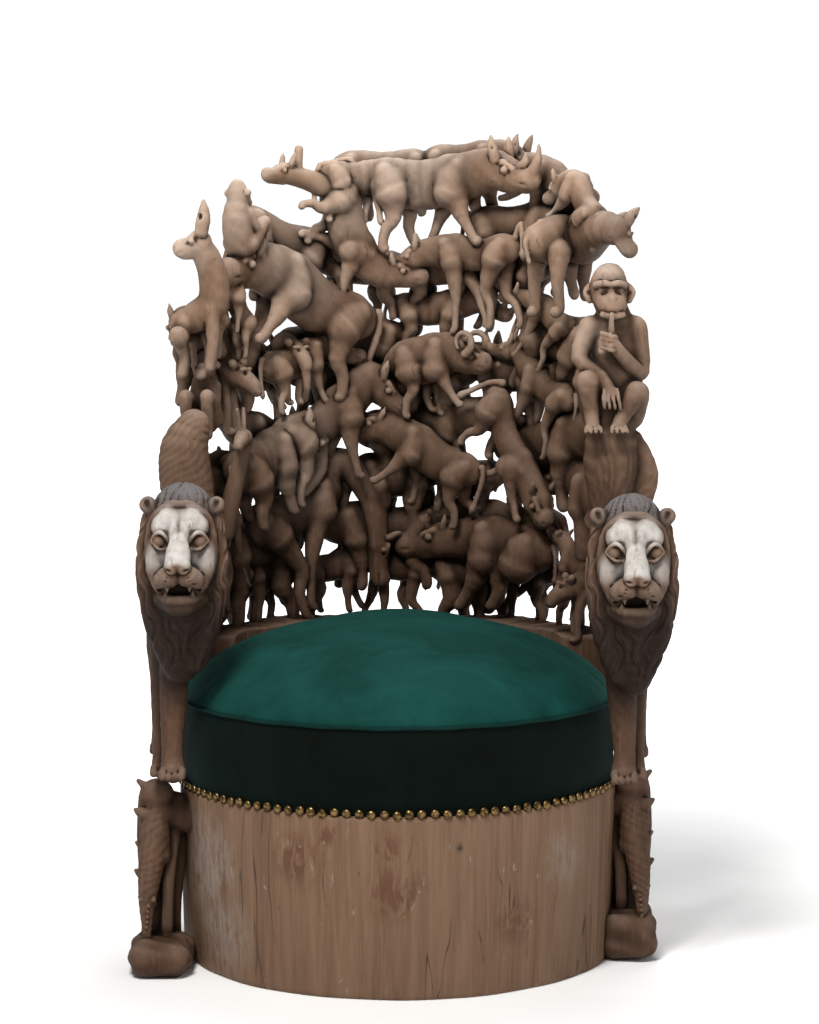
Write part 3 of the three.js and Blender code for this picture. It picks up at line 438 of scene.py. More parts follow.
def head(figure, place, kind, angle, skull, stretch=1.0):
    """Muzzle, jaw, brow, eyes, nostrils, mouth, ears, and horns or trunk."""
    long, wide, end, ear = kind.head * stretch, kind.skull, kind.muzzle, kind.ear * 1.15

    def spot(forward, up, w, radius):
        level = polar(*skull, angle, forward)
        return place.node(*polar(*level, angle + 90, up), w, radius)

    face = figure.seen_from(spot, place.side)
    face.add((0, wide * 0.12, 0, wide * 0.78), (long * 0.55, -0.01, 0, (wide + end) * 0.38),
             (long * 0.92, 0.01, 0, end * 0.92), wide=0.88, blend=4)
    face.add((0.04, -wide * 0.5, 0, wide * 0.42), (long * 0.86, -end * 0.55, 0, end * 0.5), wide=0.9,
             blend=3)
    for w in (1, -1):
        face.add((wide * 0.2, wide * 0.6, w * wide * 0.58, wide * 0.18),
                 (wide * 0.85, wide * 0.42, w * wide * 0.5, wide * 0.13), blend=4)
        face.pit(wide * 0.52, wide * 0.28, w * wide * 0.9, wide * 0.3)
        face.ball(wide * 0.5, wide * 0.26, w * wide * 0.7, wide * 0.2, blend=0.8)
        face.cut((long * 0.48, -end * 0.3, w * end, end * 0.1),
                 (long + end * 0.75, -end * 0.22, w * end * 0.6, end * 0.13))
        face.pit(long + end * 0.62, end * 0.34, w * end * 0.46, end * 0.17)
        x, y, out = -wide * 0.3, wide * 0.66, w * wide * 0.62
        face.add((x, y, out, ear * 0.3), (x - ear * 0.3, y + ear * 0.6, out * 1.2, ear * 0.3),
                 (x - ear * 0.5, y + ear * 1.25, out * 1.3, ear * 0.07), blend=2)
        face.pit(x - ear * 0.1, y + ear * 0.6, out * 1.6, ear * 0.16)
    horns(face, kind, long, wide)


def horns(face, kind, long, wide):
    """Horns on the nose or brow, straight or curled ones, or a trunk."""
    if kind.horns in ("nose", "brow"):
        for share, tall in ((0.98, 1.5), (0.5, 0.9)) if kind.horns == "nose" else ((0.2, 1.0),):
            face.add((long * share, wide * 0.3, 0, wide * 0.36),
                     (long * share + wide * 0.3, wide * (0.4 + tall * 0.5), 0, wide * 0.22),
                     (long * share + wide * 0.2, wide * (0.4 + tall), 0, wide * 0.06), blend=2)
    elif kind.horns == "straight":
        face.add((-0.02, wide * 0.5, 0.05, 0.06), (-0.12, wide * 0.5 + 0.3, 0.05, 0.045),
                 (-0.22, wide * 0.5 + 0.52, 0.05, 0.02), blend=2)
    elif kind.horns == "curled":
        for w in (1, -1):
            face.add(*[(*polar(-0.1 * wide, 0.9 * wide, -60 + 50 * step, (0.68 - 0.03 * step) * wide),
                        w * wide, (0.26 - 0.028 * step) * wide) for step in range(7)], blend=2)
    elif kind.horns == "trunk":
        face.add((long * 0.8, 0, 0, kind.muzzle * 0.9), (long + 0.1, -0.36, 0, 0.14),
                 (long - 0.02, -0.72, 0, 0.1), (long - 0.16, -0.9, 0, 0.08))


def tail(figure, kind, lift):
    """A tail that hangs down the rump, or stands at another angle."""
    root = (-0.5 - 0.86 * kind.hip, 0.22)
    mid = polar(*root, 180 - lift, 0.24)
    x, y = polar(*mid, 264, 0.40)
    figure.add((*root, 0, 0.055), (*mid, 0, 0.045), (x, y, 0, 0.045), (x, y - 0.1, 0, 0.065),
               (x, y - 0.2, 0, 0.02), blend=2)


def ribs(figure, place):
    """Shallow folds down the flank."""
    middle = place.point(0, 0, 0)
    heading = math.atan2(middle[0], middle[1])

    def folds(x, y, z):
        s, up = UNROLL * (np.arctan2(x, y) - heading), z - middle[2]
        near = np.clip(1.4 - np.hypot(s, up) / (0.4 * place.length), 0, 1)
        return near * ripple(1.6 * MM, 15 * s / place.length, 9 * up)

    figure.comb(folds)


def four_legged(one):
    kind, place = kind_of(one.kind), Place(one.hip, one.shoulder, one.layer)
    figure = Figure(min(7.5, max(3.5, 50 * place.length)), place.node, place.side)
    skull = trunk_of(figure, kind, one)
    spread = 0.52 * kind.hip
    for swing, x, w in zip(one.legs, (0.46, 0.46, -0.46, -0.46), (spread, -spread, spread, -spread)):
        leg(figure, kind, one, x, swing, w)
    tail(figure, kind, one.tail)
    if skull:
        head(figure, place, kind, one.head, skull, 1.3 if one.arched else 1)
    if one.kind in ("rhino", "elephant"):
        ribs(figure, place)
    figure.comb(chisel_marks)
    return figure


# ---- Figures given by their own chains, in millimetres ----
def relative(side, x, d, z=0):
    """Rows from a middle, in millimetres: a to the outer side, out to the front, up, and a radius."""
    return lambda a, out, up, r: at(side * (x + a), d + out, z + up, r)


def arch(*rows):
    """Rows from the middle outwards, after the same rows on the other side."""
    return [(-row[0], *row[1:]) for row in rows[::-1] if row[0]] + list(rows)


def lion(side, x, d, z):
    """The lion that ends an arm: maned head to the front, body back along the wall."""
    figure = Figure(9, relative(side, x, d, z))
    figure.add((2, -34, 62, 46), (0, -16, 66, 52), (0, 2, 26, 56), (0, 0, -30, 54), (0, 2, -80, 50),
               (2, -10, -130, 42), (6, -26, -186, 30))
    for k in (-1, 1):
        figure.add((k * 50, -6, 56, 18), (k * 54, 4, 10, 22), (k * 52, 6, -50, 24),
                   (k * 38, 4, -120, 24), (k * 20, -8, -176, 20))
    figure.add((4, -22, -34, 64), (13, -120, -34, 68), (13, -230, -36, 62), (-7, -330, -44, 54),
               wide=0.8)
    figure.comb(mane_strands(side * x * MM, -d * MM, z * MM))
    for reach, outside, thigh in ((-44, 374, 30), (-76, 392, 30), (-250, 402, 36), (-290, 414, 36)):
        low, foot = LION_FOOT - z, outside - x
        figure.add((14, reach, -60, thigh + 10), (foot - 4, reach - 4, -160, thigh * 0.9),
                   (foot, reach - 14, -250, 23), (foot + 2, reach - 6, low + 50, 18),
                   (foot, reach + 6, low + 16, 21))
        for k in range(4):
            figure.add((foot - 14 + 9 * k, reach + 16, low + 16, 9),
                       (foot - 15 + 10 * k, reach + 25, low + 9, 7), blend=1.5)
    for k in (-1, 1):
        figure.add((k * 46, -4, 68, 13), (k * 56, 4, 82, 14), blend=4)
        figure.cut((k * 54, 20, 78, 8), (k * 57, 16, 88, 7), blend=3)
    lion_brow(figure)
    lion_muzzle(figure)
    figure.comb(chisel_marks)
    return figure


def mane_strands(x0, y0, z0):
    """Wavy strands that fan back over the crown and hang down the sides and the chest."""

    def depth(x, y, z):
        turn = np.arctan2(x - x0, y0 + 0.06 - y) + 0 * z
        wave = 1.6 * np.sin(34 * z + 5 * turn) + 0.8 * np.sin(95 * z - 9 * turn)
        near = np.clip((z0 + 0.15 - z) / 0.02, 0, 1) * np.clip((z - z0 + 0.2) / 0.03, 0, 1)
        near = near * np.clip((y0 + 0.10 - y) / 0.04, 0, 1)
        crown = np.clip((z - z0 - 0.07) / 0.02, 0, 1)
        return near * (ripple(2.8 * MM, 9 * turn, wave) + ripple(1.7 * MM, 30 * turn, 2 * wave)
                       + crown * ripple(1.6 * MM, 62 * turn, 3 * wave))

    return depth


def lion_brow(figure):
    """Face plate, brow lobes, eyes with their lids, the bridge and the band of the hairline."""
    add, cut = figure.add, figure.cut
    add((0, 34, 48, 36), (0, 28, 0, 42), (0, 24, -34, 38), blend=6)
    add(*arch((0, 42, 84, 8), (18, 40, 82, 9), (42, 30, 60, 9), (51, 26, 20, 9), (49, 26, -22, 9)),
        blend=4)
    for k in (-1, 1):
        add((k * 17, 46, 62, 20), (k * 27, 44, 50, 20), blend=5)
        add((k * 40, 30, 18, 16), (k * 37, 44, -18, 19), (k * 28, 54, -42, 17), blend=6)
        cut((k * 43, 58, 30, 7), (k * 30, 68, 28, 10), (k * 19, 72, 22, 6), blend=4)
        figure.ball(k * 30, 50, 28, 14, blend=0.8)
        add((k * 46, 50, 28, 2.6), (k * 37, 60, 40, 3.4), (k * 26, 66, 40, 3.4), (k * 14, 64, 22, 2.4),
            blend=1.2)
        add((k * 46, 50, 26, 2), (k * 33, 62, 15, 2.6), (k * 20, 64, 16, 2.4), (k * 14, 64, 20, 2),
            blend=1.2)
    add((0, 54, 58, 12), (0, 71, 28, 12), (0, 88, 4, 16), (0, 95, -5, 14), wide=1.3, blend=5)
    cut((0, 69, 80, 3), (0, 72, 54, 3), (0, 86, 34, 1.5), blend=6)


def lion_muzzle(figure):
    """Nose, lips, chin, and an open mouth with teeth near its corners."""
    add, cut = figure.add, figure.cut
    add((0, 26, -62, 34), (0, 52, -74, 21), (0, 60, -78, 17), wide=1.5, blend=5)
    add(*arch((14, 70, -68, 9), (30, 52, -62, 8)), blend=3)
    for k in (-1, 1):
        add((k * 14, 80, -27, 18), (k * 24, 68, -34, 17), blend=4)
        add((k * 11, 97, -9, 11), (k * 9, 99, -13, 10), blend=2.5)
    cut(*arch((0, 92, -48, 6.5), (18, 80, -50, 5.5), (33, 62, -51, 3.4)), blend=2)
    cut(*arch((10, 86, -52, 6)), blend=2)
    cut(*arch((9, 64, -52, 9)), blend=2)
    for k in (-1, 1):
        cut((k * 6, 111, -16, 2.4), (k * 13, 107, -17, 3.4), (k * 19, 100, -13, 2), blend=1)
        add((k * 18, 80, -43, 4), (k * 18, 81, -53, 1.8), blend=0.6)
        add((k * 22, 70, -60, 3.6), (k * 22, 71, -52, 1.6), blend=0.6)
        cut((k * 27, 88, 2, 1.6), (k * 38, 66, -24, 2), (k * 40, 58, -52, 1.8), blend=1.5)
        for row in range(3):
            cut((k * (16 + row * 3), 98 - row * 4, -29 - row * 5, 1.3),
                (k * (33 + row), 80 - row * 3, -25 - row * 7, 1.2), blend=1)
    cut((0, 109, -20, 1.8), (0, 100, -40, 2.2), blend=1)


def side_beast(side, x, d):
    """The scaly beast beside the drum, snout down on its block, with spikes up its back."""
    figure = Figure(5, relative(side, x, d))
    figure.add((-34, -90, 240, 34), (12, -44, 280, 24), (4, -6, 266, 30), (5, 22, 210, 27),
               (11, 36, 160, 22), (15, 46, 108, 14), (14, 52, 64, 8), wide=0.9)
    figure.add((4, 12, 236, 26), (-6, 22, 196, 18))
    figure.comb(scales(side))
    for height, out in ((262, 24), (206, 22), (158, 24), (112, 18)):
        figure.add((14, 16, height, 13), (out + 2, 18, height + 5, 9), (out + 12, 20, height + 11, 3),
                   blend=3)
    figure.add((2, -10, 290, 30), (8, -26, 220, 30), (6, -20, 120, 26), (4, -14, 50, 26))
    figure.add((-26, -20, 270, 26), (-24, -40, 200, 24), (-22, -36, 110, 15), (-22, -30, 50, 14))
    figure.add((-24, -4, 230, 15), (-19, 10, 150, 10), (-16, 14, 60, 10), (-15, 24, 52, 10))
    figure.add((-30, -80, 230, 26), (-8, -92, 140, 15), (-8, -80, 60, 15))
    figure.add((2, -4, 292, 14), (32, 0, 318, 4))
    figure.add((-60, -20, 250, 26), (-6, -4, 262, 26))
    for k in (-1, 1):
        figure.pit(13 + k * 11, 57, 126, 5)
        figure.ball(13 + k * 10, 53, 126, 5, blend=1)
        figure.cut((14 + k * 8, 66, 84, 1.6), (14 + k * 13, 52, 100, 2))
    for k in range(5):
        figure.ball(10 + k, 61, 116 - 9 * k, 2.6, blend=1)
    return figure


def scales(side):
    """Faint rows of scales, as two crossing sets of wavering grooves."""
    return lambda x, y, z: (ripple(0.9 * MM, 230 * z + 120 * side * x, 1.2 * np.sin(60 * z + 40 * x))
                            + ripple(0.8 * MM, 210 * x - 180 * y, 9 * z))


def block(side, x, low_x, front, back, top):
    """The low rough block that the side beast rests its snout on, flat on top."""
    figure = Figure(12, at)
    for row in range(7):
        d = front - 24 + row * (back - front + 48) / 6
        figure.add((side * low_x, d, 27, 24), (side * x, d, 30, 27))
        figure.add((side * low_x, d, top - 26, 24), (side * x, d, top - 26, 25))
    figure.comb(lambda x, y, z: 2.2 * MM * np.sin(70 * x + 90 * z) * np.sin(80 * y + 40 * z)
                + 1.2 * MM * np.sin(190 * y + 60 * x) * np.sin(170 * z))
    return figure


def chimpanzee():
    """The seated chimpanzee with a finger at its mouth, on another beast's rump."""
    figure = Figure(5, at)
    add = figure.add
    add((370, -6, 1104, 28), (372, -10, 1062, 42), (372, -6, 990, 50), (370, -2, 930, 46))
    add((334, -6, 1076, 24), (312, 12, 1026, 15), (346, 42, 996, 12), (366, 50, 964, 11))
    add((406, -6, 1076, 24), (416, 14, 1004, 16), (386, 48, 1028, 12), (360, 58, 1060, 11))
    add((344, 0, 930, 28), (324, 46, 986, 21), (330, 42, 940, 14), (332, 56, 912, 12))
    add((398, 0, 930, 28), (408, 48, 968, 21), (388, 44, 936, 14), (376, 58, 912, 12))
    add((352, 24, 1052, 10), (350, 30, 1040, 8))
    for k in range(4):
        add((352 + 7 * k, 56, 974, 4), (350 + 8.5 * k, 62, 958, 3.4), (352 + 9 * k, 60, 942, 3), blend=1)
        add((346, 58, 1070 - 8 * k, 4.4), (360, 68, 1066 - 8 * k, 4), (370, 60, 1064 - 8 * k, 4), blend=1)
        for foot in (332, 376):
            add((foot - 11 + 7.5 * k, 64, 910, 4.2), (foot - 13 + 8.8 * k, 78, 903, 3.4), blend=1)
    chimp_head(figure)
    rump = Figure(6, at)
    rump.add((368, 0, 912, 38), (370, -4, 852, 50), (374, -12, 792, 46), (376, -10, 740, 40))
    rump.add((402, -10, 880, 24), (424, -2, 826, 27), (416, 8, 770, 20))
    rump.comb(lambda x, y, z: ripple(1.3 * MM, 26 * np.arctan2(x - 0.37, z - 0.72) + 0 * y,
                                     1.5 * np.sin(45 * z + 30 * y) + np.sin(140 * x)))
    rump.comb(chisel_marks)
    figure.comb(chisel_marks)
    return [figure, rump]


def chimp_head(figure):
    """Bald crown, brow ridge, ringed eyes, flat nose, wide muzzle, cupped ears and a raised finger."""
    face = figure.seen_from(lambda x, d, z, r: at(363 + 0.92 * (x - 363), d, 1142 + 0.8 * (z - 1142),
                                                  0.9 * r), (1, 0, 0))
    add, cut = face.add, face.cut
    add((364, -8, 1168, 30), (362, -2, 1156, 35), (362, 6, 1132, 34), (364, 8, 1106, 27))
    add((362, 22, 1126, 25), (365, 42, 1112, 22), (366, 52, 1106, 15), wide=1.25)
    add((336, 26, 1154, 7), (350, 37, 1158, 6.5), (362, 37, 1154, 6), (376, 37, 1158, 6.5),
        (389, 26, 1154, 7), blend=2.5)
    for k in (-1, 1):
        cut((363 + k * 18, 42, 1141, 8), (363 + k * 14, 42, 1140, 8), blend=2)
        face.ball(363 + k * 16, 28, 1141, 9, blend=0.6)
        add((363 + k * 26, 26, 1140, 2.4), (363 + k * 16, 33, 1130, 2.6), (363 + k * 7, 34, 1138, 2),
            blend=1)
        cut((364 + k * 4, 62, 1122, 2.6), (364 + k * 6, 58, 1124, 2.4), blend=1)
        add((363 + k * 34, -6, 1150, 9), (363 + k * 41, -2, 1138, 9), (363 + k * 37, 2, 1122, 7), blend=3)
        face.pit(363 + k * 40, 8, 1138, 6)
    add((364, 40, 1138, 6), (364, 56, 1124, 7), blend=2.5)
    cut((342, 48, 1100, 2), (356, 66, 1098, 2.6), (374, 66, 1098, 2.6), (388, 48, 1100, 2))
    add((347, 52, 1091, 6), (365, 62, 1088, 7), (384, 52, 1091, 6), blend=3)
    figure.add((362, 54, 1064, 7), (362, 66, 1082, 5), (362, 70, 1102, 4.4), blend=1.2)


def monkey(degrees, z, w, size, turn):
    """A seated monkey on the shell. turn is 1 when it looks to the right and -1 to the left."""

    def spot(x, y, out, radius):
        return on_layer(degrees + math.degrees(turn * x * size * MM / UNROLL), z + y * size,
                        w + out * size, radius * size)

    figure = Figure(4, spot)
    figure.add((-0.24, 0.6, 0, 0.11), (-0.2, 0.47, 0, 0.17), (-0.1, 0.42, 0.03, 0.12))
    figure.add((-0.06, 0.4, 0.03, 0.09), (0.06, 0.36, 0.03, 0.07), blend=2)
    figure.add((-0.12, 0.52, 0.08, 0.035), (-0.02, 0.5, 0.03, 0.04), (-0.12, 0.52, -0.05, 0.035),
               blend=2)
    figure.add((-0.22, 0.46, 0, 0.13), (-0.26, 0.12, 0, 0.22), (-0.14, -0.26, 0, 0.24))
    figure.add((-0.2, 0.2, 0.16, 0.09), (0.02, -0.06, 0.22, 0.07), (0.3, 0.1, 0.16, 0.055))
    for out in (0.16, -0.14):
        figure.add((-0.12, -0.24, out, 0.15), (0.33, 0.08, out, 0.1), (0.22, -0.42, out, 0.07),
                   (0.34, -0.47, out, 0.06))
        figure.ball(-0.24, 0.5, out * 1.1, 0.06, blend=2)
        figure.pit(-0.04, 0.47, out * 0.6, 0.035)
    figure.cut((0.1, 0.33, 0.1, 0.014), (0, 0.32, 0.14, 0.014))
    figure.comb(chisel_marks)
    return figure


def onlooker(degrees, z, size, trunk=False):
    """A beast that looks straight out of the shell at the sitter."""

    def spot(x, y, out, radius):
        return on_layer(degrees + math.degrees(x * size * MM / UNROLL), z + y * size, out * size,
                        radius * size)

    figure = Figure(4, spot)
    figure.add((0, 0.3, -0.5, 0.42), (0, 0.12, 0.1, 0.33), (0, -0.1, 0.5, 0.24), (0, -0.28, 0.66, 0.17))
    for x in (-0.2, 0.2):
        figure.add((x, 0, -0.3, 0.22), (x * 1.1, -0.7, -0.1, 0.12), (x, -1.3, -0.1, 0.11),
                   (x, -1.38, 0.06, 0.1))
        figure.add((x * 1.3, 0.36, 0.1, 0.11), (x * 1.8, 0.46, 0.12, 0.12), (x * 2.3, 0.46, 0.1, 0.05),
                   blend=2)
        figure.add((x * 1.4, 0.3, 0.34, 0.06), (x * 0.7, 0.3, 0.42, 0.06), blend=2)
        figure.pit(x * 1.0, 0.2, 0.42, 0.07)
        figure.ball(x * 0.98, 0.19, 0.33, 0.065, blend=1)
        figure.pit(x * 0.45, -0.26, 0.84, 0.045)
    figure.cut(*arch((0, -0.38, 0.84, 0.03), (0.18, -0.36, 0.66, 0.025)))
    if trunk:
        figure.add((0, -0.3, 0.6, 0.16), (0.05, -0.9, 0.6, 0.11), (0.2, -1.3, 0.3, 0.09))
    figure.comb(chisel_marks)
    return figure


def wing_heads():
    """The long-snouted head at the top left, the hound, the wing's antelope and the wild pig."""
    long_one, hound, antelope, pig = (Figure(4, place) for place in (on_layer, at, on_layer, at))
    long_one.add((-20, 1320, 0, 24), (-32, 1342, 0, 19), (-40, 1350, 0, 17))
    long_one.add((-36, 1346, 0, 10), (-35, 1396, 0, 8))
    head(long_one, Place((-24, 1346), (-41, 1350), "inner"), kind_of("dog"), -8, (0.5, 0.02))
    hound.add((-374, -10, 1086, 21), (-346, -10, 1098, 27), (-318, -10, 1122, 27), (-318, -4, 1166, 25),
              (-328, 6, 1200, 23), (-338, 12, 1216, 20))
    for d in (4, -26):
        hound.add((-366, d, 1088, 15), (-374, d, 1050, 11), (-368, d, 1026, 8), (-372, d, 1000, 9))
        hound.add((-322, d, 1112, 15), (-318, d, 1060, 11), (-324, d, 1010, 8))
    head(hound, FreePlace((-226, -14, 1228), (-338, -16, 1220), (0.1, -1, 0.1)),
         kind_of("cat", ear=0.3), -14, (0.5, 0.02))
    hound.comb(chisel_marks)
    antelope.add((-73, 716, -10, 20), (-73, 850, 26, 13), (-73, 884, 30, 16), (-84, 872, 34, 9))
    antelope.add((-74, 890, 26, 5), (-78, 934, 26, 4))
    antelope.add((-71, 890, 26, 5), (-71, 934, 26, 4))
    antelope.pit(-76, 888, 46, 3)
    pig.add((327.16, -159.57, 1232, 44), (352, -60, 1250, 32), (374, -34, 1246, 26))
    head(pig, FreePlace((346, 40, 1290), (376, 32, 1248), (0.55, -0.8, 0.2)),
         kind_of("hippo", ear=0.55), -4, (0.6, 0))
    return [long_one, hound, antelope, pig]


def round_rump():
    """The round-bellied beast seen from behind, over the chimpanzee."""
    figure = Figure(5, on_layer)
    figure.add((60, 1236, -44, 40), (61, 1232, -6, 44), (61, 1228, 26, 34))
    for inner, outer in ((55, 54), (68, 69)):
        figure.add((inner, 1212, 8, 22), (outer, 1160, 14, 12), (outer - 1, 1112, 8, 10),
                   (outer - 1, 1104, 14, 11))
    figure.add((62, 1262, 30, 6), (62, 1230, 60, 5), (62, 1190, 52, 4), blend=2)
    figure.cut((61, 1216, 60, 2), (61, 1186, 44, 4), blend=5)
    figure.comb(chisel_marks)
    return figure


def maned_mound():
    """The shaggy mound above the left lion, its hair in slanting grooves."""
    figure = Figure(8, at)
    figure.add((-350, 24, 912, 28), (-366, 36, 870, 42), (-362, 40, 810, 46), (-352, 60, 750, 40))
    figure.comb(lambda x, y, z: ripple(1.5 * MM, 190 * z - 170 * x + 60 * y,
                                       1.6 * np.sin(50 * x + 40 * z + 30 * y)))
    return figure


MONKEYS = [(-62, 1254, 6, 118, 1), (-81, 950, -36, 124, -1), (-30, 1196, -56, 100, 1),
           (30, 1180, -60, 100, -1)]
ONLOOKERS = [(-68, 984, 66), (-37, 1022, 60, True), (78, 612, 60)]
LIONS = [(-1, 352, 246, 712), (1, 382, 276, 696)]
SIDE_BEASTS = [(-1, 406, 150), (1, 402, 64)]
BLOCKS = [(-1, 420, 374, 247, 110, 56), (1, 416, 372, 136, -57, 84)]


# ---- The wall, the drum, and from field to mesh ----
def wall_into(field):
    """The low wall behind the cushion, rough as the chisel left it."""
    cells, (x, y, z) = field.window((-0.42, -0.15, DRUM_TOP - 0.02), (0.42, 0.42, WALL_TOP + 0.02))
    r, turn = np.hypot(x, y), np.degrees(np.abs(np.arctan2(x, y)))
    rough = 2 * MM * np.sin(11 * np.radians(turn) + 14 * z) + 0.5 * MM * np.sin(1.5 * turn + 5 * z)
    ends = (turn - WALL_ANGLE) * math.radians(1) * r
    thick = np.maximum(WALL_INNER - r, r - WALL_OUTER - rough)
    tall = np.maximum(z - WALL_TOP - rough, DRUM_TOP - 0.01 - z)
    own = soft_max(np.maximum(thick, tall), ends + 0 * z, 8 * MM)
    field.values[cells] = soft_min(field.values[cells], own.astype(np.float32), 4 * MM)


def placed(name, data):
    """An object that shows a mesh, light or camera in the scene."""
    item = bpy.data.objects.new(name, data)
    bpy.context.collection.objects.link(item)
    return item


def mesh_object(name, points, faces):
    """A smooth-shaded mesh object from arrays."""
    mesh = bpy.data.meshes.new(name)
    sides = faces.shape[1]
    mesh.vertices.add(len(points))
    mesh.vertices.foreach_set("co", np.ascontiguousarray(points, np.float32).ravel())
    mesh.loops.add(faces.size)
    mesh.loops.foreach_set("vertex_index", np.ascontiguousarray(faces, np.int32).ravel())
    mesh.polygons.add(len(faces))
    mesh.polygons.foreach_set("loop_start", np.arange(0, faces.size, sides, dtype=np.int32))
    mesh.update(calc_edges=True)
    return smooth(placed(name, mesh))


def ring_faces(rings, around, closed=False):
    """Quads between neighbouring rings of points, and from the last to the first when closed."""
    i, k = np.meshgrid(np.arange(rings if closed else rings - 1), np.arange(around), indexing="ij")
    i2, k2 = (i + 1) % rings, (k + 1) % around
    quads = np.stack([i * around + k, i * around + k2, i2 * around + k2, i2 * around + k], -1)
    return quads.reshape(-1, 4)


def smooth(piece):
    piece.data.polygons.foreach_set("use_smooth", np.ones(len(piece.data.polygons), bool))
    return piece


def applied(piece):
    """Turns the piece's modifiers into plain mesh."""
    bpy.context.view_layer.update()
    shown = piece.evaluated_get(bpy.context.evaluated_depsgraph_get())
    mesh = bpy.data.meshes.new_from_object(shown)
    piece.modifiers.clear()
    piece.data = mesh
    return piece


def surface(name, field, triangles):
    """The field's zero level as a mesh of about this many triangles."""
    pitch = field.pitch
    grid = openvdb.FloatGrid(4 * pitch)
    grid.copyFromArray(np.clip(field.values, -4 * pitch, 4 * pitch), tolerance=1e-6)
    points, quads = grid.convertToQuads()
    points = points * pitch + field.low
    a, b, c = (points[quads[:, i]] for i in range(3))
    if np.einsum("ij,ij->i", a, np.cross(b, c)).sum() < 0:
        quads = quads[:, ::-1]
    piece = mesh_object(name, points, quads)
    if 2 * len(quads) > triangles:
        less = piece.modifiers.new("fewer", "DECIMATE")
        less.ratio = triangles / (2 * len(quads))
        applied(piece)
    return smooth(joined(piece))


def joined(piece):
    """Leaves out crumbs of wood that are not joined to the rest."""
    build = bmesh.new()
    build.from_mesh(piece.data)
    seen, crumbs = set(), []
    for start in build.verts:
        if start in seen:
            continue
        seen.add(start)
        body, open_ends = [start], [start]
        while open_ends:
            for edge in open_ends.pop().link_edges:
                for other in edge.verts:
                    if other not in seen:
                        seen.add(other)
                        body.append(other)
                        open_ends.append(other)
        if len(body) < CRUMB:
            crumbs += body
    bmesh.ops.delete(build, geom=crumbs, context="VERTS")
    build.to_mesh(piece.data)
    build.free()
    return piece


def grooves(turn, z):
    """Depth of the drum's cracks and nicks at an angle from the front and a height."""
    depth = np.zeros_like(turn)
    for k in range(CRACKS):
        middle = -math.pi + 2 * math.pi * ((k * 0.618034) % 1)
        low, tall = DRUM_TOP * ((k * 0.37) % 0.8), DRUM_TOP * (0.08 + 0.3 * ((k * 0.7549) % 1) ** 2)
        share = (z - low) / tall
        lean = middle + 0.05 * share * math.sin(2 * k) + 0.006 * np.sin(60 * z + k)
        wide = 0.0036 * np.clip(4 * share * (1 - share), 0, 1) + 1e-5
        depth = np.maximum(depth, 1.8 * MM * np.clip(1 - np.abs(turn - lean) / wide, 0, 1)
                           * ((share > 0) & (share < 1)))
    return depth


def drum():
    """The drum as a turned sheet: upright grain, chisel flats, cracks, and a rounded foot."""
    around, rows = 1500 // COARSE, 54
    turn = np.linspace(-math.pi, math.pi, around, endpoint=False)[None, :]
    z = (np.linspace(0, 1, rows) * (DRUM_LIP - 0.003) + 0.001)[:, None]
    swell = DRUM_FOOT + (DRUM_RIM - DRUM_FOOT) * np.clip(z / (0.8 * DRUM_TOP), 0, 1) ** 0.7
    flats = 1.2 * MM * np.sin(7 * turn + 9 * z) + 0.8 * MM * np.sin(17 * turn - 5 * z + 1)
    grain = 0.22 * MM * (np.sin(171 * turn + 9 * z) + np.sin(263 * turn - 7 * z + 2))
    foot = 2 * MM * np.clip(1 - z / 0.008, 0, 1) ** 2
    r = swell + flats + grain - foot - grooves(turn + 0 * z, z + 0 * turn)

    def ring(radius, level):
        return np.stack([radius * np.sin(turn), -radius * np.cos(turn), level + 0 * turn], -1)

    rings = np.concatenate([ring(r[:1] * 0.01, 0.0), ring(r[:1] * 0.985, 0.0), ring(r, z),
                            ring(r[-1:] * 0.99, DRUM_LIP), ring(r[-1:] * 0.01, DRUM_LIP)])
    return mesh_object("drum", rings.reshape(-1, 3), ring_faces(len(rings), around))


# ---- The cushion ----
def cushion_radius(turn):
    """Plan radius at an angle from straight ahead: narrower behind, inside the wall."""
    share = np.clip((-math.cos(turn) + 0.12) / 0.22, 0, 1)
    share = share * share * (3 - 2 * share)
    return CUSHION_FRONT + (CUSHION_REAR - CUSHION_FRONT) * share


def cushion_form():
    """The pad before it is filled: a band under a crowned top, a little smaller than the finished one."""
    rise = CUSHION_CROWN - CUSHION_SEAM
    profile = [(0.5, DRUM_TOP + MM), (1, DRUM_TOP + MM), (1, 0.345), (1, 0.395), (1, CUSHION_SEAM)]
    for k in range(1, 9):
        bend = k / 9 * math.pi / 2
        profile.append((math.cos(bend) ** 0.9, CUSHION_SEAM + (rise - 0.008) * math.sin(bend) ** 1.15))
    around = 108
    points = [(0, 0, DRUM_TOP + MM)]
    for share, z in profile:
        for k in range(around):
            turn = 2 * math.pi * k / around
            r = (cushion_radius(turn) - 0.004) * share
            points.append((r * math.sin(turn), -r * math.cos(turn), z))
    points.append((0, 0, CUSHION_CROWN - 0.006))
    faces = []
    for k in range(around):
        after = (k + 1) % around
        faces.append((0, 1 + after, 1 + k))
        for ring in range(len(profile) - 1):
            low, high = 1 + ring * around, 1 + (ring + 1) * around
            faces.append((low + k, low + after, high + after, high + k))
        top = 1 + (len(profile) - 1) * around
        faces.append((top + k, top + after, len(points) - 1))
    mesh = bpy.data.meshes.new("seat_cushion_cover")
    mesh.from_pydata(points, [], faces)
    return placed("seat_cushion_cover", mesh)


def seam_gap(point):
    """How far a point is from the seam between band and top."""
    off = math.hypot(point[0], point[1]) - cushion_radius(math.atan2(point[0], -point[1])) + 0.004
    return math.hypot(off, point[2] - CUSHION_SEAM)


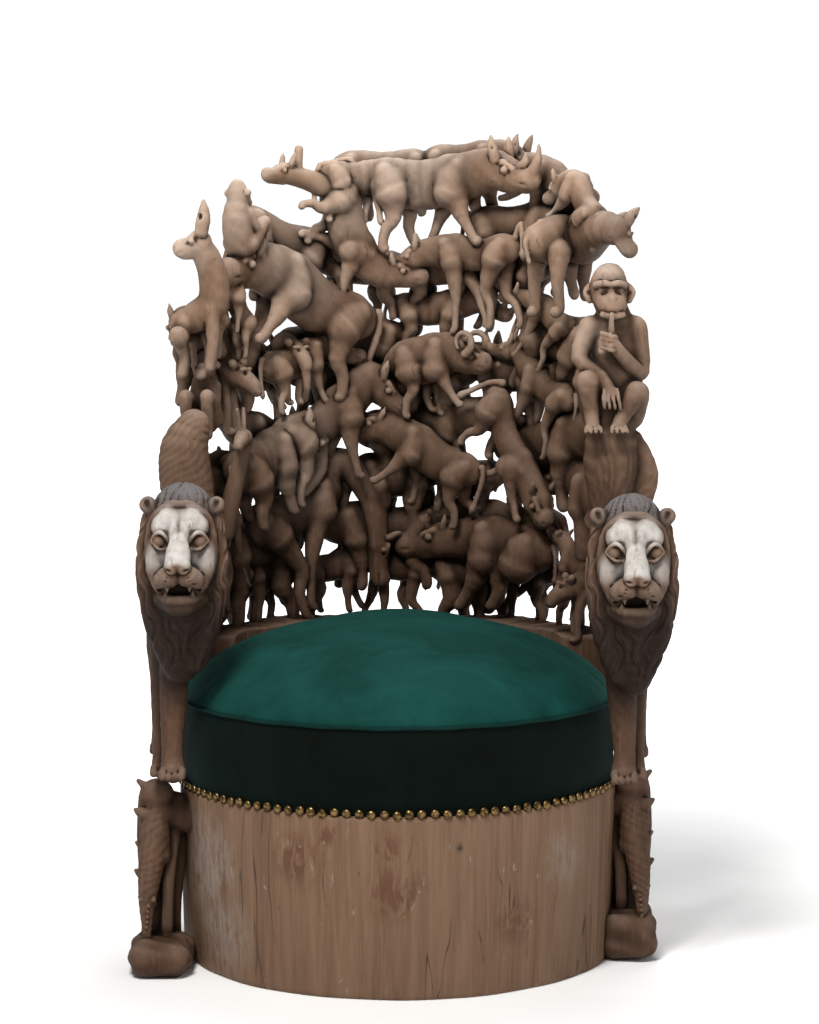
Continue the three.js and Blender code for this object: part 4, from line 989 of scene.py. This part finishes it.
def filled(piece):
    """Blows the pad up as cloth round its filling, held at the foot and along the seam."""
    remesh = piece.modifiers.new("even", "REMESH")
    remesh.mode, remesh.voxel_size = "VOXEL", PAD_PITCH
    applied(piece)
    before = np.array([v.co for v in piece.data.vertices])
    held = piece.vertex_groups.new(name="held")
    for v in piece.data.vertices:
        near = 1 - min(1, seam_gap(v.co) / SEAM_HOLD)
        held.add([v.index], max(1.0 if v.co.z < DRUM_TOP + 0.012 else 0.0, near), "REPLACE")
    cloth = piece.modifiers.new("filling", "CLOTH")
    settings = cloth.settings
    settings.vertex_group_mass = "held"
    settings.use_pressure, settings.uniform_pressure_force = True, 4
    settings.effector_weights.gravity = 0
    settings.tension_stiffness = settings.compression_stiffness = 12
    scene = bpy.context.scene
    for frame_number in range(1, 21):
        scene.frame_set(frame_number)
    applied(piece)
    scene.frame_set(1)
    after = np.array([v.co for v in piece.data.vertices])
    move = after - before
    far = np.linalg.norm(move, axis=1, keepdims=True)
    after = before + move * np.minimum(1, PAD_SWELL / np.maximum(far, 1e-9))
    after[:, 2] = np.maximum(after[:, 2], DRUM_TOP + 0.4 * MM)
    piece.data.vertices.foreach_set("co", after.ravel().astype(np.float32))
    return piece


def cushion():
    """The velvet pad, blown up as cloth, with a share of 1 on its top and 0 on its band."""
    piece = cushion_form()
    filled(piece)
    rounder = piece.modifiers.new("round", "SUBSURF")
    rounder.levels = rounder.render_levels = 1
    smooth(applied(piece))
    height = vertex_points(piece)[:, 2]
    # 1 on top, 0 on the band, where the velvet's painted shade goes.
    store(piece, "top", np.clip((height - CUSHION_SEAM) / 0.004 + 0.5, 0, 1))
    return piece


def tube(name, path, radius, sides=8):
    """A round cord along a closed path."""
    path = np.array(path)
    ahead = np.roll(path, -1, 0) - np.roll(path, 1, 0)
    ahead /= np.linalg.norm(ahead, axis=1, keepdims=True)
    across = np.cross(ahead, (0, 0, 1))
    across /= np.linalg.norm(across, axis=1, keepdims=True)
    up = np.cross(across, ahead)
    turn = (2 * np.pi * np.arange(sides) / sides)[None, :, None]
    ring = across[:, None] * np.cos(turn) + up[:, None] * np.sin(turn)
    points = path[:, None] + ring * radius
    return mesh_object(name, points.reshape(-1, 3), ring_faces(len(path), sides, closed=True))


def piping():
    """The corded seam between the band and the top."""
    path = []
    for k in range(300):
        turn = 2 * math.pi * k / 300
        r = cushion_radius(turn) - 0.002
        path.append((r * math.sin(turn), -r * math.cos(turn), CUSHION_SEAM + 0.0006 * math.sin(23 * turn)))
    cord = tube("cushion_piping", path, 0.0024)
    # Halfway between the top and the band's painted shade.
    store(cord, "top", np.full(len(cord.data.vertices), 0.45))
    return cord


# ---- Nail trim ----
def nail_trim():
    """Domed brass nails, close together and a little uneven."""
    rng = np.random.default_rng(7)
    build = bmesh.new()
    for k in range(NAILS):
        turn = math.radians(-NAIL_ANGLE + 2 * NAIL_ANGLE * k / (NAILS - 1)) + rng.normal(0, 0.0022)
        size, tilt = 0.0076 + rng.normal(0, 0.0002), rng.normal(0, 0.05)
        nail(build, turn, size, tilt, NAIL_LEVEL + rng.normal(0, 0.0007))
    mesh = bpy.data.meshes.new("nail_heads")
    build.to_mesh(mesh)
    build.free()
    return smooth(placed("nail_heads", mesh))


def nail(build, turn, size, tilt, level, rows=5, around=14):
    """One dome on a short shank, its face towards the outside at an angle from the front."""
    outer = Vector((math.sin(turn), -math.cos(turn), 0))
    across, up = Vector((math.cos(turn), math.sin(turn), 0)), Vector((0, 0, 1)) + outer * tilt
    middle = outer * (DRUM_RIM + 0.0005) + Vector((0, 0, level))
    angles = [2 * math.pi * s / around for s in range(around)]
    rings = []
    for row in range(rows):
        bend = math.pi / 2 * row / rows
        reach, proud = size * math.cos(bend), size * 0.62 * math.sin(bend)
        rings.append([build.verts.new(middle + (across * math.cos(a) + up * math.sin(a)) * reach
                                      + outer * proud) for a in angles])
    rings.insert(0, [build.verts.new(v.co - outer * 0.0016) for v in rings[0]])
    for low, high in zip(rings[:-1], rings[1:]):
        for s in range(around):
            after = (s + 1) % around
            build.faces.new((low[s], low[after], high[after], high[s]))
    build.faces.new(rings[-1])
    build.faces.new(rings[0][::-1])


# ---- What the materials read from the mesh ----
def vertex_points(piece):
    points = np.empty(len(piece.data.vertices) * 3, np.float32)
    piece.data.vertices.foreach_get("co", points)
    return points.reshape(-1, 3)


def store(piece, name, values):
    layer = piece.data.attributes.new(name, "FLOAT", "POINT")
    layer.data.foreach_set("value", np.ascontiguousarray(values, np.float32))


def blurred(values, reach):
    """A box blur of the grid along its three axes."""
    for axis in range(3):
        total = np.cumsum(values, axis=axis, dtype=np.float64)
        values = (np.roll(total, -reach, axis) - np.roll(total, reach + 1, axis)) / (2 * reach + 1)
    return values


def sampled(values, places):
    """Grid values at places given in cells, blended between the eight nearest."""
    base = np.clip(np.floor(places).astype(int), 0, np.array(values.shape) - 2)
    share = np.clip(places - base, 0, 1)
    total = 0
    for corner in ((i, j, k) for i in (0, 1) for j in (0, 1) for k in (0, 1)):
        weight = np.prod(np.where(corner, share, 1 - share), axis=1)
        total = total + weight * values[tuple((base + corner).T)]
    return total


def hollow_share(field, points, reach):
    """How much wood lies round each point: over half in a hollow, under half on a ridge."""
    cells = max(1, int(round(reach / field.pitch)))
    room = np.pad(np.clip(0.5 - field.values / field.pitch, 0, 1), 2 * cells + 1)
    soft = blurred(blurred(room, cells), max(1, cells // 2))
    return sampled(soft, (points - field.low) / field.pitch + 2 * cells + 1)


# Soft spots of colour. On the lions: a, out, up, reach in millimetres and strength, from the
# face's middle; elsewhere x, y, z, reach in metres and strength.
LION_TINTS = (
    ((30, 60, 28, 17, 1), (0, 106, -20, 18, 1), (16, 90, -34, 20, 0.6)),  # brown eyes, nose and lips
    ((22, 62, 58, 34, 1), (0, 84, 26, 34, 1), (7, 100, 4, 22, 1), (40, 48, -2, 30, 0.5),
     (24, 78, -26, 16, 0.25)),  # pale brow, bridge and cheeks
    ((0, -16, 116, 84, 1),),  # grey crown
    # Painted shadow under the chins, on the chests:
    ((0, 10, -140, 150, 1),),  # dark chest
    # Painted light on the faces, fed into the light attribute:
    ((0, 60, 10, 110, 0.4),),  # light face
)
# Pale spots of wear, and some of painted light on figures that lie in shade.
WORN_SPOTS = [
    (0.364, -0.02, 1.20, 0.055, 0.4), (0.33, -0.01, 1.06, 0.05, 0.3), (0.0, 0.3, 1.37, 0.15, 0.35),
    (0.30, 0.2, 1.28, 0.07, 0.4), (-0.30, 0.1, 1.28, 0.09, 0.25), (-0.37, -0.02, 1.21, 0.06, 0.35),
    (-0.1, 0.3, 1.30, 0.09, 0.35), (-0.22, 0.28, 0.85, 0.14, 0.28), (-0.19, 0.22, 1.19, 0.12, 0.32),
    (0.12, 0.30, 0.95, 0.05, 0.25)]
DRUM_SCARS = [
    (-0.161, -0.34, 0.225, 0.055, 1), (-0.114, -0.355, 0.272, 0.03, 1), (-0.019, -0.375, 0.25, 0.035, 1),
    (0.0, -0.375, 0.18, 0.06, 1), (0.19, -0.32, 0.12, 0.05, 0.8), (0.1, 0.35, 0.15, 0.08, 1),
    (0.37, 0.05, 0.2, 0.07, 1), (-0.36, 0.06, 0.12, 0.07, 1)]
DRUM_WORN = [(-0.315, -0.19, 0.19, 0.11, 0.75), (-0.29, -0.23, 0.08, 0.09, 0.6),
             (0.27, -0.26, 0.21, 0.06, 0.4), (-0.1, 0.36, 0.2, 0.12, 0.5)]
DRUM_HOLE = (0.10, -0.362, 0.249, 0.008, 1)


def spots_at(points, spots):
    """The strongest of several soft spots, each (x, y, z, reach, strength) in metres."""
    best = np.zeros(len(points), np.float32)
    for x, y, z, reach, strength in spots:
        far = np.linalg.norm(points - np.array((x, y, z), np.float32), axis=1)
        best = np.maximum(best, strength * np.clip(1.8 * (1 - far / reach), 0, 1))
    return best


def lion_spots(*spots):
    """Spots at the same places on both lions: a, out, up, reach, strength, on both sides of the face."""
    return [(side * (x + k * a) * MM, -(d + out) * MM, (z + up) * MM, reach * MM, strength)
            for side, x, d, z in LIONS for k in (-1, 1) for a, out, up, reach, strength in spots]


# ---- Materials ----
class Shader:
    """A material with a Principled shader, and short ways to add nodes."""

    def __init__(self, name, **sockets):
        self.material = bpy.data.materials.new(name)
        self.material.use_nodes = True
        self.tree = self.material.node_tree
        self.surface = self.tree.nodes["Principled BSDF"]
        for socket, value in sockets.items():
            self.feed(self.surface.inputs[socket.replace("_", " ")], value)

    def node(self, kind, inputs=(), **settings):
        made = self.tree.nodes.new(kind)
        for name, value in settings.items():
            setattr(made, name, value)
        for key, value in dict(inputs).items():
            self.feed(made.inputs[key], value)
        return made

    def feed(self, socket, value):
        if isinstance(value, bpy.types.NodeSocket):
            self.tree.links.new(value, socket)
        else:
            colour = socket.type == "RGBA" and len(value) == 3
            socket.default_value = (*value, 1) if colour else value

    def maths(self, operation, a, b=0.0, clamp=False):
        made = self.node("ShaderNodeMath", {0: a, 1: b}, operation=operation, use_clamp=clamp)
        return made.outputs[0]

    def times(self, a, b):
        return self.maths("MULTIPLY", a, b)

    def spread(self, value, low, high, out_low=0.0, out_high=1.0):
        ends = {0: value, 1: low, 2: high, 3: out_low, 4: out_high}
        return self.node("ShaderNodeMapRange", ends).outputs[0]

    def mix(self, share, a, b):
        made = self.node("ShaderNodeMix", {0: share}, data_type="RGBA")
        self.feed(made.inputs[6], a)
        self.feed(made.inputs[7], b)
        return made.outputs[2]

    def place(self, scale=(1, 1, 1)):
        where = self.node("ShaderNodeTexCoord").outputs["Object"]
        return self.node("ShaderNodeMapping", {"Vector": where, "Scale": scale}).outputs[0]

    def noise(self, scale, detail=4.0, stretch=(1, 1, 1), roughness=0.55, distortion=0.0):
        return self.node("ShaderNodeTexNoise", {
            "Vector": self.place(stretch), "Scale": scale, "Detail": detail, "Roughness": roughness,
            "Distortion": distortion}).outputs[0]

    def attribute(self, name):
        return self.node("ShaderNodeAttribute", attribute_name=name).outputs["Fac"]

    def bump(self, height, distance, strength=1.0, normal=None):
        made = self.node("ShaderNodeBump", {"Height": height, "Distance": distance, "Strength": strength})
        if normal is not None:
            self.feed(made.inputs["Normal"], normal)
        return made.outputs[0]

    def finish(self, colour, roughness, normal):
        self.feed(self.surface.inputs["Base Color"], colour)
        self.feed(self.surface.inputs["Roughness"], roughness)
        self.feed(self.surface.inputs["Normal"], normal)
        return self.material


def bare_wood(s, fine):
    """The wood's own colour, with painted light and shade: darker low down and paler high up as if lit
    from above, and painted shade, near black, on the rear layer and the lions' chests.
    """
    tone = s.spread(s.noise(30, 5, (1, 1, 0.12), 0.6), 0.3, 0.7)
    low = s.mix(tone, (0.056, 0.026, 0.014), (0.088, 0.046, 0.027))
    high = s.mix(tone, (0.195, 0.112, 0.068), (0.290, 0.182, 0.120))
    # Painted light: the light attribute rises with height and on the lions' faces.
    body = s.mix(s.attribute("light"), low, high)
    body = s.mix(s.spread(fine, 0.5, 0.8, 0, 0.25), body, (0.22, 0.145, 0.10))
    body = s.mix(s.spread(s.noise(7, 3), 0.45, 0.65, 0, 0.4), body, (0.07, 0.040, 0.026))
    # Painted shade, near black, on the rear layer and on the lions' chests under their chins.
    return s.mix(s.attribute("deep"), body, (0.018, 0.010, 0.007))


def worn_share(s, up, hollow, groove, speck):
    """How pale the wood is: dust on upward faces and wear on its ridges, partly painted highlight,
    stronger high up in the painted light and weaker in the painted shade of the rear layer.
    """
    # Dust and painted highlight on upward faces out of the hollows; wear and painted highlight on ridges.
    dust = s.times(s.spread(up, -0.1, 0.9), s.spread(hollow, 0.52, 0.26))
    ridge = s.spread(groove, 0.485, 0.38, 0, 0.6)
    worn = s.times(s.maths("MAXIMUM", dust, ridge), s.spread(speck, 0.2, 0.8, 0.5, 0.9))
    # Painted light: paler the higher up.
    worn = s.times(worn, s.spread(s.attribute("light"), 0, 1, 0.2, 1))
    # Spots of wear and of painted light.
    worn = s.maths("ADD", worn, s.attribute("worn"), clamp=True)
    # Less on the painted shade of the rear layer and the lions' chests.
    return s.times(worn, s.spread(s.attribute("deep"), 0, 1, 1, 0.25))


def carved_wood():
    """Old hardwood: painted shade, almost black, in the hollows and on faces turned down, dust, wear and
    painted highlight on ridges and upward faces, and painted light high up.
    """
    s = Shader("carved_wood", Specular_IOR_Level=0.12)
    fine, speck = s.noise(170, 3, (1, 1, 0.10), 0.6), s.noise(95, 5, (1, 1, 0.6))
    hollow, groove = s.attribute("hollow"), s.attribute("groove")
    facing = s.node("ShaderNodeNewGeometry").outputs["Normal"]
    up = s.node("ShaderNodeSeparateXYZ", {0: facing}).outputs[2]
    # Pale dust and wear, partly painted highlight.
    body = s.mix(worn_share(s, up, hollow, groove, speck), bare_wood(s, fine), (0.50, 0.40, 0.325))
    # Painted shade: dark in hollows, in fine grooves and on faces turned down.
    shade = s.maths("MAXIMUM", s.spread(hollow, 0.37, 0.62), s.spread(groove, 0.503, 0.57, 0, 0.9))
    shade = s.maths("MAXIMUM", shade, s.spread(up, 0.1, -0.9, 0, 0.5))
    body = s.mix(shade, body, (0.012, 0.006, 0.003))
    open_face = s.spread(groove, 0.60, 0.48, 0.1, 1)
    body = s.mix(s.times(s.attribute("grey"), open_face), body, (0.115, 0.108, 0.110))
    pale = s.times(s.times(s.attribute("pale"), open_face), s.spread(speck, 0.25, 0.6, 0.55, 1))
    body = s.mix(pale, body, (0.46, 0.44, 0.415))
    pores = s.noise(120, 4, (1, 1, 0.16), 0.65, 0.4)
    body = s.mix(s.spread(pores, 0.62, 0.70, 0, 0.5), body, (0.045, 0.026, 0.017))
    normal = s.bump(fine, 0.0010, 0.5, s.bump(s.noise(60, 5), 0.0022, 0.5))
    return s.finish(body, s.spread(speck, 0.3, 0.7, 0.55, 0.8), normal)


def drum_wood():
    """The drum's sawn log: taupe upright grain, thin dark cracks, red scars and a worn pale patch."""
    s = Shader("drum_wood", Specular_IOR_Level=0.25)
    grain = s.noise(34, 7, (1, 1, 0.05), 0.66, 0.3)
    fine = s.noise(190, 4, (1, 1, 0.05), 0.6)
    cloud = s.noise(6, 4, (1, 1, 0.5), 0.6)
    speck = s.noise(60, 5, (1, 1, 0.4), 0.6, 0.8)
    body = s.mix(s.spread(grain, 0.32, 0.68), (0.118, 0.064, 0.036), (0.198, 0.118, 0.070))
    body = s.mix(s.spread(fine, 0.5, 0.8, 0, 0.5), body, (0.240, 0.155, 0.098))
    body = s.mix(s.spread(cloud, 0.42, 0.66, 0, 0.35), body, (0.135, 0.078, 0.048))
    scar = s.times(s.attribute("scar"), s.spread(speck, 0.44, 0.54))
    body = s.mix(scar, body, (0.105, 0.048, 0.024))
    worn = s.times(s.attribute("worn"), s.spread(speck, 0.38, 0.56))
    body = s.mix(s.times(worn, 0.6), body, (0.30, 0.265, 0.24))
    nick = s.spread(s.noise(44, 3, (1, 1, 0.5), 0.5, 0.6), 0.69, 0.73, 0, 0.6)
    body = s.mix(nick, body, (0.30, 0.235, 0.19))
    vein = s.maths("SUBTRACT", s.noise(9, 3, (1, 1, 0.10), 0.5, 0.5), 0.5)
    crack = s.spread(s.maths("ABSOLUTE", vein), 0.004, 0.001)
    crack = s.times(crack, s.spread(s.noise(5, 2), 0.50, 0.60, 0, 0.8))
    body = s.mix(s.maths("MAXIMUM", crack, s.attribute("crack")), body, (0.030, 0.016, 0.010))
    normal = s.bump(s.maths("SUBTRACT", fine, crack), 0.0008, 0.5, s.bump(grain, 0.002, 0.4))
    return s.finish(body, s.spread(grain, 0.3, 0.7, 0.75, 0.6), normal)


def velvet():
    """Green velvet: teal on top, and on the band a copy painted in shade, almost black."""
    s = Shader("velvet", Specular_IOR_Level=0.08, Sheen_Weight=0.07, Sheen_Roughness=0.4,
               Sheen_Tint=(0.30, 0.75, 0.66))
    cloud = s.noise(6, 6, (1, 1.7, 1), 0.62, 0.8)
    nap = s.noise(420, 3)
    top = s.mix(s.spread(cloud, 0.32, 0.68), (0.0018, 0.024, 0.0195), (0.0055, 0.050, 0.042))
    # Painted shade: the band is the same velvet made much darker.
    band = s.mix(s.spread(cloud, 0.32, 0.68), (0.0005, 0.0020, 0.0011), (0.0012, 0.0044, 0.0030))
    colour = s.mix(s.attribute("top"), band, top)
    normal = s.bump(nap, 0.0005, 0.35, s.bump(cloud, 0.004, 0.3))
    return s.finish(colour, s.spread(nap, 0.3, 0.7, 0.8, 0.98), normal)


def brass_nails():
    """Antique brass, brown and yellow in small patches."""
    s = Shader("brass_nails", Metallic=1.0)
    patch = s.noise(160, 4)
    colour = s.mix(s.spread(patch, 0.38, 0.62), (0.045, 0.027, 0.011), (0.24, 0.155, 0.062))
    return s.finish(colour, s.spread(patch, 0.3, 0.7, 0.5, 0.32), s.bump(patch, 0.0003, 0.5))


def plain_stage():
    """A white floor that glows more the farther it lies, so that it has no horizon."""
    s = Shader("pale_floor", Specular_IOR_Level=0.05, Roughness=0.9, Emission_Color=(1, 1, 1))
    tone = s.mix(s.spread(s.noise(3, 2), 0.3, 0.7), (0.93, 0.93, 0.93), (0.95, 0.95, 0.95))
    s.feed(s.surface.inputs["Base Color"], tone)
    far = s.node("ShaderNodeVectorMath", {0: s.place()}, operation="LENGTH").outputs["Value"]
    s.feed(s.surface.inputs["Emission Strength"], s.spread(far, 0.9, 2.6, 0, 1.2))
    return s.material


# ---- Pieces ----
def near_herd():
    """Every figure that faces the sitter: the inner and middle layers and the wings."""
    made = [four_legged(one) for one in HERD if one.layer != "outer"]
    made += [monkey(*row) for row in MONKEYS] + [onlooker(*row) for row in ONLOOKERS]
    return made + wing_heads() + chimpanzee() + [round_rump(), maned_mound()]


def rear_herd():
    """The outer layer, seen through the gaps and from behind."""
    return [four_legged(one) for one in [*HERD, *rear_beasts()] if one.layer == "outer"]


def carved_rows(low, high):
    """The carved meshes: name, figures, pitch, triangles and the corners of their box."""
    shell_low, rear_low = (vec(x, -0.16, DRUM_TOP - 0.02) for x in (low[0], -0.42))
    rows = [("carved_herd", near_herd(), CARVED_PITCH, 196000, shell_low, high),
            ("carved_rear", rear_herd(), CARVED_PITCH, 180000, rear_low, high)]
    for word, lion_row, beast_row, block_row in zip(("left", "right"), LIONS, SIDE_BEASTS, BLOCKS):
        near, far = sorted((lion_row[0] * 0.24, lion_row[0] * 0.47))
        rows.append((word + "_lion", [lion(*lion_row)], FINE_PITCH, 92000,
                     vec(near, low[1], 0.31), vec(far, 0.2, 0.87)))
        rows.append((word + "_side_beast", [side_beast(*beast_row), block(*block_row)], FINE_PITCH, 44000,
                     vec(near, low[1], 0), vec(far, 0.2, 0.34)))
    return rows


def carved_pieces():
    """Makes every carved mesh. The room is one coarse field of them all, for the deep shade."""
    low, high = (np.array(corner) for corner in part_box("carved_throne"))
    rows = carved_rows(low, high)
    room = Field(low - 0.02, high + 0.02, ROOM_PITCH)
    for row in rows:
        room.fill(row[1])
    wall_into(room)
    for name, figures, pitch, triangles, corner, far_corner in rows:
        field = Field(corner - 0.014, far_corner + 0.014, pitch * COARSE).fill(figures)
        if name == "carved_rear":
            wall_into(field)
        piece = surface(name, field, triangles)
        mark_wood(piece, field, room)
        yield piece


def mark_wood(piece, field, room):
    """What the wood's material reads at each vertex."""
    points = vertex_points(piece)
    x, y, z = points.T
    # Hollow and groove shares, which the material uses for painted shade in hollows and grooves.
    shade = [hollow_share(room, points, reach) for reach in (0.008, 0.024)]
    store(piece, "hollow", 0.5 * (shade[0] + shade[1]))
    store(piece, "groove", hollow_share(field, points, 0.003))
    brown, pale, grey, chest, face = (spots_at(points, lion_spots(*spots)) for spots in LION_TINTS)
    store(piece, "pale", np.clip(pale - brown, 0, 1))
    # Spots of wear and of painted light.
    store(piece, "worn", spots_at(points, WORN_SPOTS))
    store(piece, "grey", grey)
    # Painted shade on the rear layer behind the shell, and on the lions' chests.
    behind = np.clip((np.hypot(x, y) - 0.335) / 0.05, 0, 1) * (y > 0) * (z > DRUM_TOP + 0.04)
    store(piece, "deep", np.maximum(0.42 * behind, chest))
    # Painted light from above: rises with height, and is lifted on the lions' faces.
    rise = np.clip((z - 0.55) / 0.78, 0, 1) ** 1.25
    store(piece, "light", np.maximum(np.maximum(rise, face), 0.06 * (z < 0.36)))


def mark_drum(piece):
    """Where the drum is scarred, worn pale and cracked."""
    points = vertex_points(piece)
    turn, z = np.arctan2(points[:, 0], -points[:, 1]), points[:, 2]
    store(piece, "scar", spots_at(points, DRUM_SCARS))
    store(piece, "worn", spots_at(points, DRUM_WORN))
    hole = spots_at(points, [DRUM_HOLE])
    store(piece, "crack", np.maximum(hole, np.clip(grooves(turn, z) / MM - 0.9, 0, 0.8)))


def stage():
    """A wide pale floor under a pale world, with no horizon from any side."""
    floor = mesh_object("floor", np.array([(-30, -30, 0), (30, -30, 0), (30, 30, 0), (-30, 30, 0)]),
                        np.array([(0, 1, 2, 3)]))
    floor.data.materials.append(plain_stage())
    world = bpy.data.worlds.new("pale_room")
    world.use_nodes = True
    tree = world.node_tree
    backdrop = tree.nodes["Background"].inputs
    seen = tree.nodes.new("ShaderNodeLightPath").outputs["Is Camera Ray"]
    level = tree.nodes.new("ShaderNodeMapRange")
    level.inputs["To Min"].default_value, level.inputs["To Max"].default_value = ROOM_LIGHT, ROOM_SEEN
    tree.links.new(seen, level.inputs["Value"])
    tree.links.new(level.outputs[0], backdrop["Strength"])
    backdrop["Color"].default_value = (1, 1, 1, 1)
    bpy.context.scene.world = world


def lamp(name, place, target, size, power, tint=(1, 1, 1)):
    light = bpy.data.lights.new(name, "AREA")
    light.shape, light.size, light.energy, light.color = "DISK", size, power, tint
    item = placed(name, light)
    item.location = place
    item.rotation_euler = (Vector(target) - Vector(place)).to_track_quat("-Z", "Y").to_euler()


def lights():
    lamp("key", (-0.7, -2.2, 3.5), (0, 0, 0.9), 1.1, 150, (1, 0.985, 0.96))
    lamp("fill", (2.6, -2.6, 1.6), (0, 0, 0.8), 2.0, 20)
    lamp("top", (0.3, 1.4, 3.2), (0, 0.2, 0.9), 1.6, 60)


def camera():
    lens = bpy.data.cameras.new("camera")
    lens.sensor_fit, lens.sensor_height, lens.sensor_width, lens.lens = "AUTO", 36, 36, CAMERA_LENS
    item = placed("camera", lens)
    item.location = CAMERA_PLACE
    item.rotation_euler = (math.radians(90 - CAMERA_TILT), 0, 0)
    bpy.context.scene.camera = item


def dressed(piece, material, slot, *nodes):
    piece.data.materials.clear()
    piece.data.materials.append(material)
    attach(piece, "root")
    if nodes:
        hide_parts(*nodes)
    return piece


camera()
lights()
stage()
bpy.context.scene.view_settings.view_transform = "Standard"
wood = carved_wood()
for index, piece in enumerate(carved_pieces()):
    dressed(piece, wood, "carved_wood", *(["carved_throne"] if index == 0 else []))
trunk = drum()
mark_drum(trunk)
dressed(trunk, drum_wood(), "carved_wood")
green = velvet()
dressed(cushion(), green, "velvet", "seat_cushion")
dressed(piping(), green, "velvet")
dressed(nail_trim(), brass_nails(), "brass_nails", "nail_trim")


def plain(box):
    return [[float(v) for v in corner] for corner in box]
